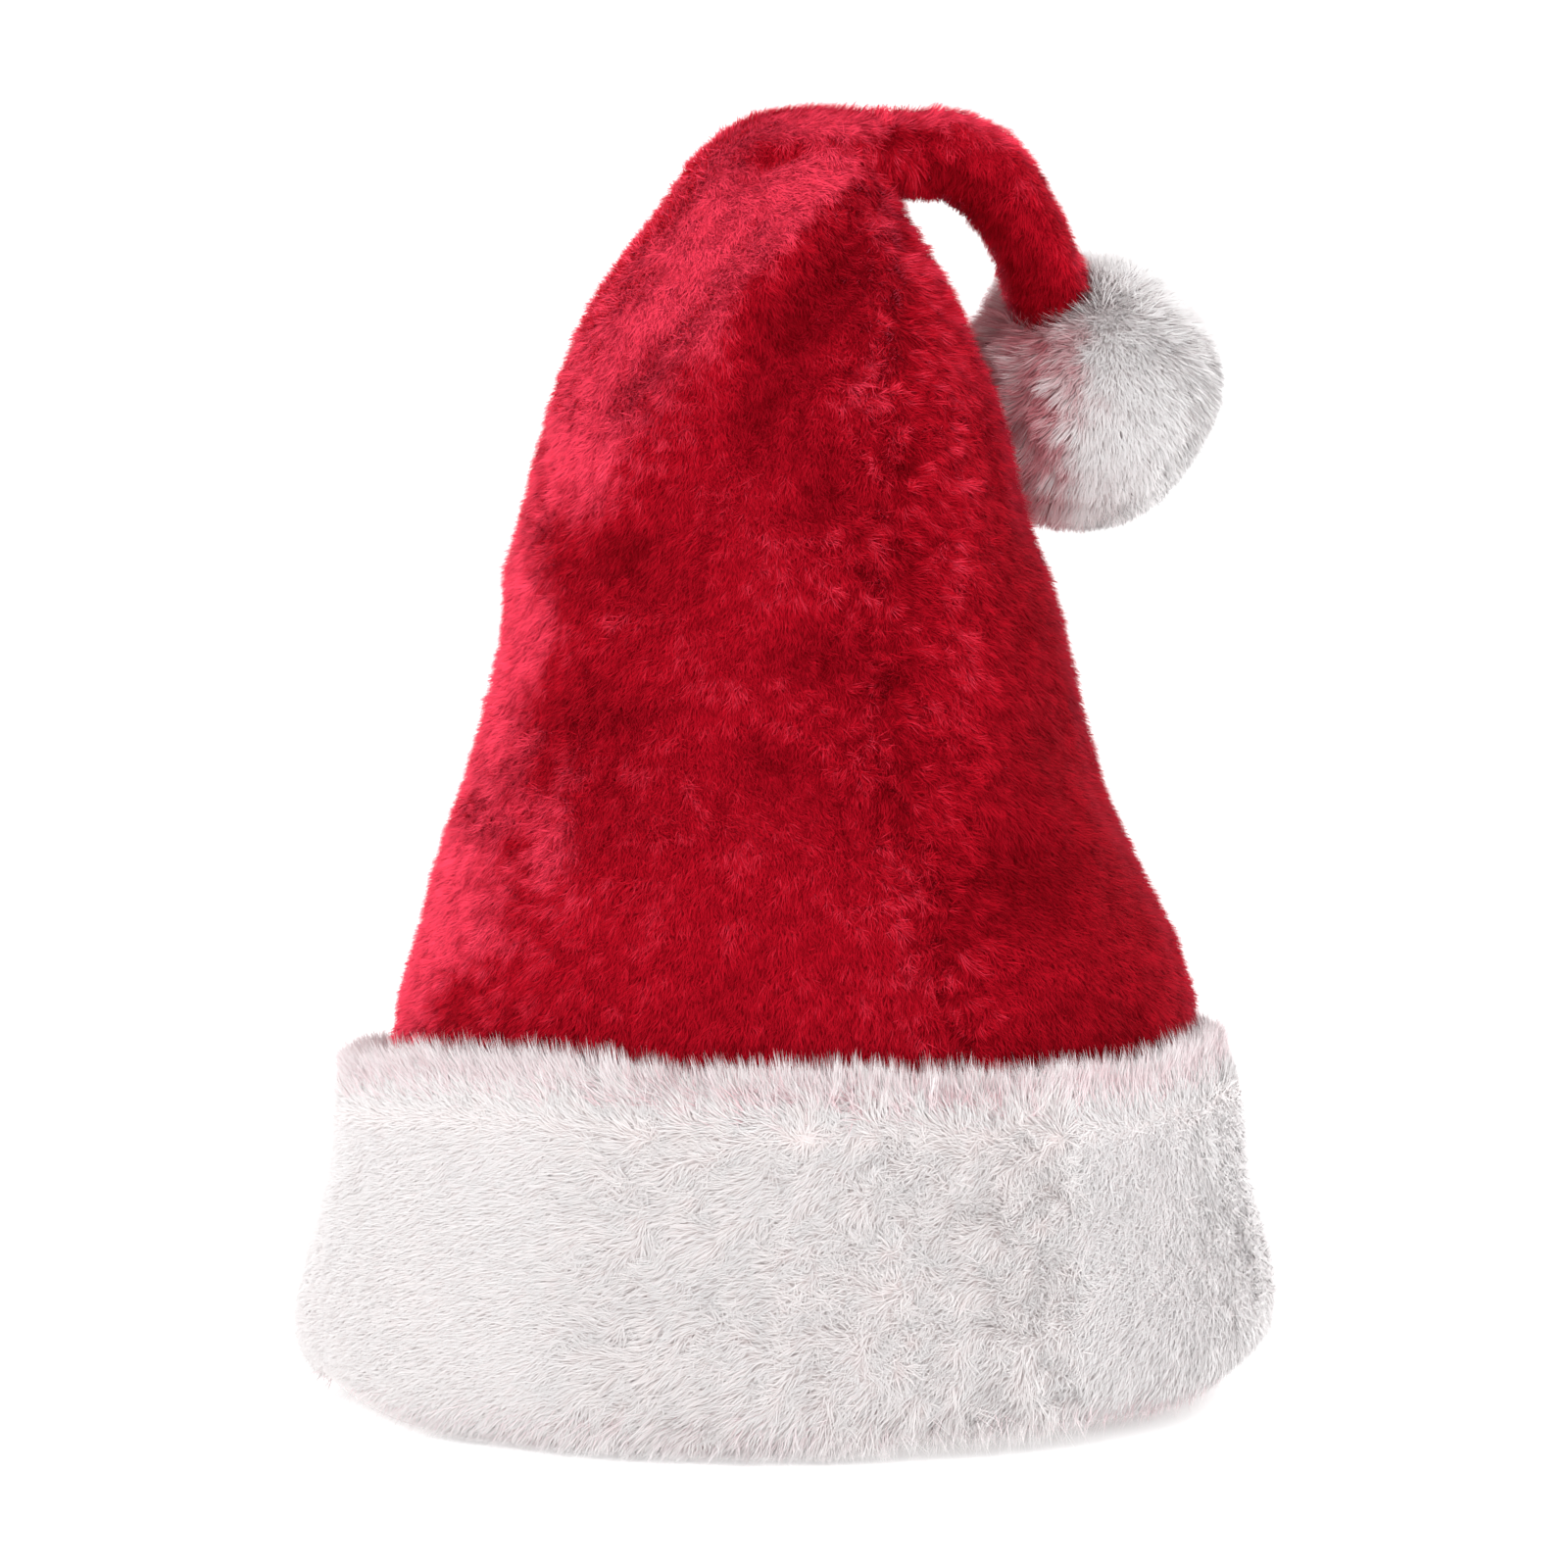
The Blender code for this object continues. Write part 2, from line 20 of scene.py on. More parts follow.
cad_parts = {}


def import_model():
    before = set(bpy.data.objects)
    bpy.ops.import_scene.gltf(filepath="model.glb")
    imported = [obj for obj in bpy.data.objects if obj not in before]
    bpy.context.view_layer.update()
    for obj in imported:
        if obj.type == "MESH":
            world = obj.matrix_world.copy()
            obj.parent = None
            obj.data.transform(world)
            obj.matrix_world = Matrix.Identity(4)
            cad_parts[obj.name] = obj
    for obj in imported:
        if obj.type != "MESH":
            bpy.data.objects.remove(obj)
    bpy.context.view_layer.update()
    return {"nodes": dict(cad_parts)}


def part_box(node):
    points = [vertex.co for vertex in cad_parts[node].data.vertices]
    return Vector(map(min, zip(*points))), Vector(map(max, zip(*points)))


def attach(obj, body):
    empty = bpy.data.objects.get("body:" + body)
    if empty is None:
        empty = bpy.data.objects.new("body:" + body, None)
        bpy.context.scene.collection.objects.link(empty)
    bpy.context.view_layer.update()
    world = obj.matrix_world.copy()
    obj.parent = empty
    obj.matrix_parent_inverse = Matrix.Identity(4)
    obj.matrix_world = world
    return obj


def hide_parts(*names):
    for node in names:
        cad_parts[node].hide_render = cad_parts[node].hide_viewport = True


LOG = logging.getLogger("santa_hat")
PILE_MAP = "OFBake"
MERGE_DISTANCE = 0.00001
QUAD_FACE_ANGLE = math.radians(50)
QUAD_SHAPE_ANGLE = math.radians(60)
FLOOR_GAP = 0.0004
Colour = tuple[float, float, float]
Span = tuple[float, float]
WHITE: Colour = (1.0, 1.0, 1.0)


class Body(Enum):
    """The CAD nodes that the pieces replace."""

    CROWN = "crown"
    CUFF = "cuff"
    POMPOM = "pompom"


class Groom(Enum):
    """Point attributes that carry the pile's grooming from a cloth surface to its blades."""

    COMB = "comb"
    PILE = "pile"
    COVER = "cover"
    TOUSLE = "tousle"
    STAND = "stand"
    # Painted light and shade with random mottle, which the pile and cloth turn into a tone.
    SHADE = "shade"


def linked(name: str, data: bpy.types.ID) -> bpy.types.Object:
    """Makes an object and links it to the scene.

    Args:
        name: The object's name.
        data: Its mesh, light or camera.

    Returns:
        The object.
    """
    thing = bpy.data.objects.new(name, data)
    bpy.context.scene.collection.objects.link(thing)
    return thing


def new_material(name: str) -> tuple[bpy.types.Material, bpy.types.NodeTree, bpy.types.Node]:
    """Makes a material with an empty Principled surface.

    Args:
        name: The material's name.

    Returns:
        The material, its node tree and its Principled BSDF node.
    """
    material = bpy.data.materials.new(name)
    material.use_nodes = True
    return material, material.node_tree, material.node_tree.nodes["Principled BSDF"]


def set_inputs(node: bpy.types.Node, **values: object) -> None:
    """Sets a node's inputs, by name with _ for a space."""
    for key, value in values.items():
        node.inputs[key.replace("_", " ")].default_value = value


def attribute(tree: bpy.types.NodeTree, name: str) -> bpy.types.NodeSocket:
    """Adds a node that reads a point attribute.

    Args:
        tree: The material's node tree.
        name: The attribute's name.

    Returns:
        The value's output.
    """
    node = tree.nodes.new("ShaderNodeAttribute")
    node.attribute_name = name
    return node.outputs["Fac"]


def ramp(tree: bpy.types.NodeTree, stops: tuple[tuple[float, Colour], ...]) -> bpy.types.Node:
    """Adds a colour ramp.

    Args:
        tree: The material's node tree.
        stops: The place, from 0 to 1, and the colour of each stop.

    Returns:
        The ramp's node.
    """
    node = tree.nodes.new("ShaderNodeValToRGB")
    elements = node.color_ramp.elements
    for place, _ in stops[1:-1]:
        elements.new(place)
    for element, (place, colour) in zip(elements, stops):
        element.position = place
        element.color = (*colour, 1.0)
    return node


@dataclass(frozen=True)
class DyeAndPaintedLight:
    """The colours of one pile: its own colour, with painted shade at the dark end and painted
    highlight at the bright end, which also spread random tone.
    """

    dark: Colour
    body: Colour
    bright: Colour
    root: Colour

    def tones(self, tree: bpy.types.NodeTree, name: str) -> bpy.types.NodeSocket:
        """Adds the nodes that turn a point attribute into a colour.

        Args:
            tree: The material's node tree.
            name: The attribute's name.

        Returns:
            The colour's output.
        """
        colours = ramp(tree, ((0.0, self.dark), (0.5, self.body), (1.0, self.bright)))
        tree.links.new(attribute(tree, name), colours.inputs["Fac"])
        return colours.outputs["Color"]


def multiplied(
    tree: bpy.types.NodeTree, first: bpy.types.NodeSocket, second: bpy.types.NodeSocket
) -> bpy.types.NodeSocket:
    """Adds a node that multiplies two colours.

    Args:
        tree: The material's node tree.
        first: The one colour.
        second: The other colour.

    Returns:
        The product's output.
    """
    mix = tree.nodes.new("ShaderNodeMix")
    mix.data_type = "RGBA"
    mix.blend_type = "MULTIPLY"
    mix.inputs[0].default_value = 1.0
    tree.links.new(first, mix.inputs[6])
    tree.links.new(second, mix.inputs[7])
    return mix.outputs[2]


@dataclass(frozen=True)
class PileFinish:
    """Dyed fibre with painted light: its colour deepens towards the root as painted shade, and
    differs a little between blades.
    """

    name: str
    dye: DyeAndPaintedLight
    roughness: float = 0.75
    gloss: float = 0.12
    sheen: float = 0.10
    sheen_roughness: float = 0.35
    sheen_tint: Colour = WHITE
    root_share: float = 0.6

    def material(self) -> bpy.types.Material:
        """Makes the material, which reads each blade's tone, with its painted light and shade, and
        its height from its attributes.

        Returns:
            The material.
        """
        material, tree, shader = new_material(self.name)
        # Painted shade: each blade darkens towards its root, where the pile shades itself.
        heights = ramp(tree, ((0.0, self.dye.root), (self.root_share, WHITE)))
        tree.links.new(attribute(tree, "along"), heights.inputs["Fac"])
        colour = multiplied(tree, self.dye.tones(tree, "tone"), heights.outputs["Color"])
        tree.links.new(colour, shader.inputs["Base Color"])
        set_inputs(
            shader,
            Roughness=self.roughness,
            Specular_IOR_Level=self.gloss,
            Sheen_Weight=self.sheen,
            Sheen_Roughness=self.sheen_roughness,
            Sheen_Tint=(*self.sheen_tint, 1.0),
        )
        return material


@dataclass(frozen=True)
class ClothFinish:
    """The knitted backing that the pile is rooted in, mottled and ribbed, with the pile's painted
    light and shade.
    """

    name: str
    dye: DyeAndPaintedLight
    rib: float = 0.0011
    rib_looseness: float = 0.35
    rib_depth: float = 0.3
    bump: float = 0.5
    mottle: float = 0.004
    mottle_detail: float = 4.0
    mottle_stops: tuple[float, float] = (0.3, 0.7)
    mottle_top: Colour = (0.95, 0.95, 0.95)
    roughness: float = 0.9
    gloss: float = 0.10

    def material(self) -> bpy.types.Material:
        """Makes the material: the pile's tones with their painted light and shade, mottled, and a
        knit's small bumps.

        Returns:
            The material.
        """
        material, tree, shader = new_material(self.name)
        link = tree.links.new
        place = tree.nodes.new("ShaderNodeTexCoord")
        mottle = tree.nodes.new("ShaderNodeTexNoise")
        set_inputs(mottle, Scale=1.0 / self.mottle, Detail=self.mottle_detail)
        depths = ramp(tree, tuple(zip(self.mottle_stops, (self.dye.root, self.mottle_top))))
        knit = tree.nodes.new("ShaderNodeTexVoronoi")
        set_inputs(knit, Scale=1.0 / self.rib, Randomness=self.rib_looseness)
        bump = tree.nodes.new("ShaderNodeBump")
        set_inputs(bump, Strength=self.bump, Distance=self.rib_depth * self.rib)
        link(place.outputs["Object"], mottle.inputs["Vector"])
        link(place.outputs["Object"], knit.inputs["Vector"])
        link(mottle.outputs["Fac"], depths.inputs["Fac"])
        colour = multiplied(tree, self.dye.tones(tree, Groom.SHADE.value), depths.outputs["Color"])
        link(colour, shader.inputs["Base Color"])
        link(knit.outputs["Distance"], bump.inputs["Height"])
        link(bump.outputs["Normal"], shader.inputs["Normal"])
        set_inputs(shader, Roughness=self.roughness, Specular_IOR_Level=self.gloss)
        return material


# The dark and bright ends are painted shade and painted highlight, the bright red standing for
# sheen; the root is painted shade at the blades' roots.
RED_DYE_AND_LIGHT = DyeAndPaintedLight(
    dark=(0.24, 0.0005, 0.005),
    body=(0.50, 0.0040, 0.016),
    bright=(0.98, 0.060, 0.120),
    root=(0.50, 0.40, 0.45),
)
# The grey dark end is painted shade and the bright end painted highlight; the pinkish root is
# painted shade at the roots.
WHITE_DYE_AND_LIGHT = DyeAndPaintedLight(
    dark=(0.66, 0.64, 0.645),
    body=(0.72, 0.705, 0.705),
    bright=(0.77, 0.73, 0.725),
    root=(0.94, 0.87, 0.865),
)
# The pink dark end and root are painted reflection of the red crown with painted shade, on the
# fringe's tips over the red.
FRINGE_DYE_AND_RED_REFLECTION = DyeAndPaintedLight(
    dark=(0.68, 0.34, 0.38),
    body=(0.76, 0.68, 0.69),
    bright=(0.81, 0.79, 0.79),
    root=(0.92, 0.78, 0.80),
)
# The pink dark end is painted reflection of the red crown with painted shade, on the pompom's side
# next to it.
POMPOM_DYE_AND_RED_REFLECTION = DyeAndPaintedLight(
    dark=(0.61, 0.20, 0.23),
    body=(0.77, 0.74, 0.74),
    bright=(0.84, 0.84, 0.84),
    root=(0.88, 0.80, 0.80),
)
RED_PILE = PileFinish(
    name="red_pile",
    dye=RED_DYE_AND_LIGHT,
    gloss=0.03,
    sheen=0.8,
    sheen_tint=(1.0, 0.08, 0.16),
    root_share=0.5,
)
WHITE_PILE = PileFinish(name="white_pile", dye=WHITE_DYE_AND_LIGHT)
FRINGE_PILE = PileFinish(name="fringe_pile", dye=FRINGE_DYE_AND_RED_REFLECTION)
POMPOM_PILE_WITH_RED_REFLECTION = PileFinish(name="tinged_pile", dye=POMPOM_DYE_AND_RED_REFLECTION)
RED_CLOTH = ClothFinish(name="red_cloth", dye=RED_DYE_AND_LIGHT, gloss=0.02)
WHITE_CLOTH = ClothFinish(name="white_cloth", dye=WHITE_DYE_AND_LIGHT)
POMPOM_CLOTH_WITH_RED_REFLECTION = ClothFinish(name="tinged_cloth", dye=POMPOM_DYE_AND_RED_REFLECTION)


@dataclass(frozen=True)
class Pile:
    """How one pile grows: its blades' number and size, and how they are combed and gathered."""

    density: float
    length: float
    width: float
    rise: float = 0.2
    stray: float = 0.35
    swirl: float = 1.0
    swirl_size: float = 0.03
    tuft: float = 0.8
    tuft_size: float = 0.006
    uneven: float = 0.35


CROWN_PILE = Pile(
    density=1.60e6, length=0.0038, width=0.00038, stray=0.5, tuft=0.10, tuft_size=0.004
)
CUFF_PILE = Pile(density=2.0e6, length=0.0058, width=0.00042, rise=0.12, tuft=0.15)
POMPOM_PILE = Pile(
    density=4.8e6, length=0.0080, width=0.00038, rise=0.30, stray=0.30, swirl=0.6, tuft=0.6
)
FRINGE = replace(
    CUFF_PILE, density=3.4e6, length=0.0100, width=0.00028, rise=0.22, stray=0.40, tuft=0.7,
    tuft_size=0.004, uneven=0.50,
)


class Nodes:
    """A small helper that builds a Geometry Nodes tree with named inputs."""

    def __init__(self, name: str) -> None:
        """Makes the tree with its geometry input and output.

        Args:
            name: The tree's name.
        """
        self.tree = bpy.data.node_groups.new(name, "GeometryNodeTree")
        for side in ("INPUT", "OUTPUT"):
            self.tree.interface.new_socket(
                "Geometry", in_out=side, socket_type="NodeSocketGeometry"
            )
        self.enter = self.tree.nodes.new("NodeGroupInput")
        self.leave = self.tree.nodes.new("NodeGroupOutput")

    def socket(self, name: str, kind: str = "NodeSocketFloat") -> bpy.types.NodeSocket:
        """Adds a named input to the tree and returns the socket that carries it."""
        self.tree.interface.new_socket(name, in_out="INPUT", socket_type=kind)
        return self.enter.outputs[name]

    def add(self, kind: str, settings: dict | None = None, **inputs: object) -> bpy.types.Node:
        """Adds a node, with its settings and its inputs as links or values.

        Args:
            kind: The node's type.
            settings: Properties to set on the node before its inputs.
            **inputs: Values or sockets for the inputs, by name with _ for a space, or by place as
                in0, in1 and so on.

        Returns:
            The new node.
        """
        node = self.tree.nodes.new(kind)
        for key, value in (settings or {}).items():
            setattr(node, key, value)
        for key, value in inputs.items():
            by_place = key[:2] == "in" and key[2:].isdigit()
            target = node.inputs[int(key[2:]) if by_place else key.replace("_", " ")]
            if isinstance(value, bpy.types.NodeSocket):
                self.tree.links.new(value, target)
            else:
                target.default_value = value
        return node

    def maths(self, operation: str, *values: object) -> bpy.types.NodeSocket:
        """Adds a Math node and returns its output."""
        inputs = {f"in{k}": value for k, value in enumerate(values)}
        return self.add("ShaderNodeMath", {"operation": operation}, **inputs).outputs[0]

    def plus(self, first: object, second: object) -> bpy.types.NodeSocket:
        """Adds a sum of two numbers and returns its output."""
        return self.maths("ADD", first, second)

    def times(self, first: object, second: object) -> bpy.types.NodeSocket:
        """Adds a product of two numbers and returns its output."""
        return self.maths("MULTIPLY", first, second)

    def vector(self, operation: str, *values: object) -> bpy.types.NodeSocket:
        """Adds a Vector Math node.

        Args:
            operation: What the node does.
            *values: Its vectors, as sockets or values.

        Returns:
            The output, a number for a dot product and a vector for the rest.
        """
        inputs = {f"in{k}": value for k, value in enumerate(values)}
        node = self.add("ShaderNodeVectorMath", {"operation": operation}, **inputs)
        return node.outputs[1 if operation == "DOT_PRODUCT" else 0]

    def scaled(self, vector: object, amount: object) -> bpy.types.NodeSocket:
        """Adds a Vector Math node that scales a vector and returns its output."""
        settings = {"operation": "SCALE"}
        return self.add("ShaderNodeVectorMath", settings, in0=vector, Scale=amount).outputs[0]

    def attribute(self, name: str, kind: str = "FLOAT") -> bpy.types.NodeSocket:
        """Adds a Named Attribute node and returns its output."""
        settings = {"data_type": kind}
        return self.add("GeometryNodeInputNamedAttribute", settings, Name=name).outputs[0]

    def random(self, low: float, high: float, seed: int) -> bpy.types.NodeSocket:
        """Adds a random number for each element.

        Args:
            low: The least number.
            high: The largest number.
            seed: The seed.

        Returns:
            The number's output.
        """
        node = self.add("FunctionNodeRandomValue", {"data_type": "FLOAT"}, Seed=seed)
        node.inputs[2].default_value = low
        node.inputs[3].default_value = high
        return node.outputs[1]

    def store(self, geometry: object, name: str, value: object, kind: str, domain: str) -> object:
        """Adds a Store Named Attribute node.

        Args:
            geometry: The geometry that gets the attribute.
            name: The attribute's name.
            value: Its value.
            kind: Its data type.
            domain: What it belongs to, such as POINT.

        Returns:
            The geometry's output.
        """
        settings = {"data_type": kind, "domain": domain}
        node = self.add(
            "GeometryNodeStoreNamedAttribute", settings, Geometry=geometry, Name=name, Value=value
        )
        return node.outputs[0]


@dataclass(frozen=True)
class Nap:
    """How far grooming, wisps and chance move, light and tint a blade, alike in every pile."""

    plain_grain: float = 0.2
    tousled_grain: float = 0.8
    wisp_detail: float = 1.5
    eddy_detail: float = 2.0
    wisp_lean: float = 3.2
    wisp_lift: float = 1.6
    wisp_reach: float = 1.2
    stand_lift: float = 2.0
    loose_lift: float = 0.7
    light_tip: float = 0.7
    light_scatter: float = 0.16
    roll: float = 0.12
    widths: tuple[float, float] = (0.75, 1.25)
    speckle: float = 0.16
    tones: tuple[float, float] = (0.03, 0.97)
    side_tone: float = 0.012


NAP = Nap()
BLADE_POINTS = ((0.00, -0.50, 0.00), (0.00, 0.50, 0.00), (0.93, 0.00, 0.37))
BLADE_FACES = ((1, 0, 2),)


class PileMill:
    """Grows piles on groomed surfaces with one Geometry Nodes tree and one blade."""

    def __init__(self) -> None:
        """Builds the blade and the tree."""
        self.blade = self.make_blade()
        self.tree = self.make_tree()

    def make_blade(self) -> bpy.types.Object:
        """Makes the blade that every pile repeats, rooted at the origin and rising towards +X.

        Returns:
            The object, one unit long, with the height and side of each point as attributes.
        """
        mesh = bpy.data.meshes.new("blade")
        mesh.from_pydata(BLADE_POINTS, [], BLADE_FACES)
        mesh.shade_smooth()
        along = mesh.attributes.new("along", "FLOAT", "POINT")
        side = mesh.attributes.new("side", "FLOAT", "POINT")
        for k, (x, y, _) in enumerate(BLADE_POINTS):
            along.data[k].value = x / BLADE_POINTS[-1][0]
            side.data[k].value = 2.0 * y
        return linked("blade", mesh)

    def make_tree(self) -> bpy.types.NodeTree:
        """Builds the tree that grows a pile on a groomed surface.

        Returns:
            The tree, which ends in Realize Instances and Set Material.
        """
        n = Nodes("pile")
        density, length, width, rise, stray = map(
            n.socket, ("Density", "Length", "Width", "Rise", "Stray")
        )
        swirl, swirl_size, tuft, tuft_size, uneven = map(
            n.socket, ("Swirl", "Swirl Size", "Tuft", "Tuft Size", "Uneven")
        )
        seed = n.socket("Seed", "NodeSocketInt")
        blade = n.socket("Blade", "NodeSocketObject")
        finish = n.socket("Finish", "NodeSocketMaterial")
        half = (0.5, 0.5, 0.5)

        spread = n.add(
            "GeometryNodeDistributePointsOnFaces",
            {"distribute_method": "RANDOM"},
            Mesh=n.enter.outputs["Geometry"],
            Density=n.times(density, n.attribute(Groom.COVER.value)),
            Seed=seed,
        )
        rooted = n.store(
            spread.outputs["Points"], "upright", spread.outputs["Normal"], "FLOAT_VECTOR", "POINT"
        )
        normal = n.attribute("upright", "FLOAT_VECTOR")
        place = n.add("GeometryNodeInputPosition").outputs[0]
        tousle = n.attribute(Groom.TOUSLE.value)
        grain = n.plus(NAP.plain_grain, n.times(tousle, NAP.tousled_grain))

        fineness = n.maths("DIVIDE", 1.0, tuft_size)
        cell = n.add("ShaderNodeTexVoronoi", Vector=place, Scale=fineness)
        inwards = n.vector("SUBTRACT", cell.outputs["Position"], place)
        gathered = n.scaled(inwards, n.times(n.times(tuft, fineness), tousle))
        wisps = n.add("ShaderNodeTexNoise", Vector=place, Scale=fineness, Detail=NAP.wisp_detail)
        of_wisp = n.vector("SUBTRACT", wisps.outputs["Color"], half)
        wisp_parts = n.add("ShaderNodeSeparateXYZ", Vector=of_wisp)
        eddy_scale = n.maths("DIVIDE", 1.0, swirl_size)
        eddies = n.add(
            "ShaderNodeTexNoise", Vector=place, Scale=eddy_scale, Detail=NAP.eddy_detail
        )
        of_eddy = n.vector("SUBTRACT", eddies.outputs["Color"], half)
        eddying = n.scaled(of_eddy, n.times(swirl, tousle))
        loose = n.add("FunctionNodeRandomValue", {"data_type": "FLOAT_VECTOR"}, Seed=21)
        loose.inputs[0].default_value = (-1.0, -1.0, -1.0)
        loose.inputs[1].default_value = (1.0, 1.0, 1.0)
        lean = n.attribute(Groom.COMB.value, "FLOAT_VECTOR")
        for part in (
            eddying,
            gathered,
            n.scaled(of_wisp, n.times(tousle, NAP.wisp_lean)),
            n.scaled(loose.outputs[0], stray),
        ):
            lean = n.vector("ADD", lean, part)
        flat = n.vector("SUBTRACT", lean, n.scaled(normal, n.vector("DOT_PRODUCT", lean, normal)))
        along = n.vector("NORMALIZE", flat)
        lift = rise
        for raised in (
            n.times(n.attribute(Groom.STAND.value), NAP.stand_lift),
            n.times(n.random(-NAP.loose_lift, NAP.loose_lift, 11), stray),
            n.times(n.times(wisp_parts.outputs[2], NAP.wisp_lift), tousle),
        ):
            lift = n.plus(lift, raised)
        upright = n.vector("SUBTRACT", normal, n.scaled(along, lift))
        tipped = n.times(n.times(lift, NAP.light_tip), grain)
        leaning = n.vector("SUBTRACT", normal, n.scaled(along, tipped))
        scattered = n.scaled(loose.outputs[0], n.times(grain, NAP.light_scatter))
        facing = n.vector("ADD", leaning, scattered)
        turned = n.add(
            "FunctionNodeAxesToRotation",
            {"primary_axis": "Z", "secondary_axis": "X"},
            in0=upright,
            in1=along,
        )
        roll = n.add("ShaderNodeCombineXYZ", X=n.random(-NAP.roll, NAP.roll, 12))
        rolled = n.add(
            "FunctionNodeRotateRotation",
            {"rotation_space": "LOCAL"},
            in0=turned.outputs[0],
            in1=n.add("FunctionNodeEulerToRotation", in0=roll.outputs[0]).outputs[0],
        )
        shortfall = n.times(uneven, n.random(0.0, 1.0, 13))
        reach = n.times(length, n.attribute(Groom.PILE.value))
        reach = n.times(reach, n.maths("SUBTRACT", 1.0, shortfall))
        reach = n.times(reach, n.plus(1.0, n.times(wisp_parts.outputs[1], NAP.wisp_reach)))
        broad = n.times(width, n.random(*NAP.widths, 14))
        speckle = n.times(n.random(-NAP.speckle, NAP.speckle, 15), grain)
        # The tone is the surface's painted light and shade, with random speckle and wisps.
        tone = n.plus(n.attribute(Groom.SHADE.value), speckle)
        tone = n.plus(tone, n.times(wisp_parts.outputs[1], grain))
        toned = n.store(rooted, "tone", tone, "FLOAT", "POINT")
        blades = n.add(
            "GeometryNodeInstanceOnPoints",
            Points=n.store(toned, "facing", facing, "FLOAT_VECTOR", "POINT"),
            Instance=n.add("GeometryNodeObjectInfo", Object=blade).outputs["Geometry"],
            Rotation=rolled.outputs[0],
            Scale=n.add("ShaderNodeCombineXYZ", X=reach, Y=broad, Z=reach).outputs[0],
        )
        real = n.add("GeometryNodeRealizeInstances", Geometry=blades.outputs[0])
        spot = n.add("ShaderNodeSeparateXYZ", Vector=place)
        above = n.maths("MAXIMUM", spot.outputs["Z"], FLOOR_GAP)
        kept = n.add("ShaderNodeCombineXYZ", X=spot.outputs["X"], Y=spot.outputs["Y"], Z=above)
        stood = n.add("GeometryNodeSetPosition", Geometry=real.outputs[0], Position=kept.outputs[0])
        darkest, lightest = NAP.tones
        within = n.maths("MAXIMUM", n.maths("MINIMUM", n.attribute("tone"), lightest), darkest)
        across = n.plus(within, n.times(n.attribute("side"), NAP.side_tone))
        spread_out = n.add("ShaderNodeCombineXYZ", X=across, Y=n.attribute("along"))
        mapped = n.store(stood.outputs[0], PILE_MAP, spread_out.outputs[0], "FLOAT2", "CORNER")
        lit = n.add("GeometryNodeSetMeshNormal", {"mode": "FREE", "domain": "POINT"}, Mesh=mapped)
        n.tree.links.new(n.attribute("facing", "FLOAT_VECTOR"), lit.inputs["Custom Normal"])
        dyed = n.add("GeometryNodeSetMaterial", Geometry=lit.outputs[0], Material=finish)
        n.tree.links.new(dyed.outputs[0], n.leave.inputs["Geometry"])
        return n.tree

    def grow(
        self, name: str, surface: bpy.types.Mesh, pile: Pile, dye: bpy.types.Material, seed: int
    ) -> bpy.types.Object:
        """Grows one pile as a plain mesh.

        Args:
            name: The piece's name.
            surface: The groomed surface.
            pile: The pile's sizes.
            dye: The blades' material, with its painted light and shade.
            seed: The seed of the blades' places.

        Returns:
            The finished piece.
        """
        ground = linked(f"{name}_ground", surface)
        modifier = ground.modifiers.new("pile", "NODES")
        modifier.node_group = self.tree
        values = {key.replace("_", " ").title(): size for key, size in asdict(pile).items()}
        values |= {"Seed": seed, "Blade": self.blade, "Finish": dye}
        for item in self.tree.interface.items_tree:
            if item.name in values:
                modifier[item.identifier] = values[item.name]
        mesh = plain_mesh(ground)
        mesh.name = name
        for spare in [a.name for a in mesh.attributes]:
            if spare in {g.value for g in Groom} | {"upright", "facing", "side"}:
                mesh.attributes.remove(mesh.attributes[spare])
        bpy.data.objects.remove(ground)
        LOG.info("%s: %d blades", name, len(mesh.polygons))
        return linked(name, mesh)

    def close(self) -> None:
        """Removes the blade's object once every pile has grown."""
        bpy.data.objects.remove(self.blade)


def plain_mesh(thing: bpy.types.Object) -> bpy.types.Mesh:
    """Makes a plain mesh of an object with its modifiers.

    Args:
        thing: The object, linked to the scene.

    Returns:
        The mesh.
    """
    depsgraph = bpy.context.evaluated_depsgraph_get()
    depsgraph.update()
    return bpy.data.meshes.new_from_object(
        thing.evaluated_get(depsgraph), preserve_all_data_layers=True, depsgraph=depsgraph
    )


def smoothed(bm: bmesh.types.BMesh, name: str, levels: int) -> bpy.types.Mesh:
    """Turns a cage into a smooth plain mesh and frees it.

    Args:
        bm: The cage.
        name: The mesh's name.
        levels: How many times it is subdivided.

    Returns:
        The subdivided mesh.
    """
    cage = bpy.data.meshes.new(f"{name}_cage")
    bm.to_mesh(cage)
    bm.free()
    holder = linked(f"{name}_cage", cage)
    modifier = holder.modifiers.new("smooth", "SUBSURF")
    modifier.levels = levels
    modifier.render_levels = levels
    mesh = plain_mesh(holder)
    mesh.name = name
    mesh.shade_smooth()
    bpy.data.objects.remove(holder)
    return mesh


def merged_cage(node: bpy.types.Object) -> bmesh.types.BMesh:
    """Copies a CAD node's loose triangles into one closed cage of quads.

    Args:
        node: The CAD node.

    Returns:
        The cage.
    """
    bm = bmesh.new()
    bm.from_mesh(node.data)
    bmesh.ops.remove_doubles(bm, verts=bm.verts, dist=MERGE_DISTANCE)
    bmesh.ops.join_triangles(
        bm,
        faces=bm.faces,
        angle_face_threshold=QUAD_FACE_ANGLE,
        angle_shape_threshold=QUAD_SHAPE_ANGLE,
    )
    return bm


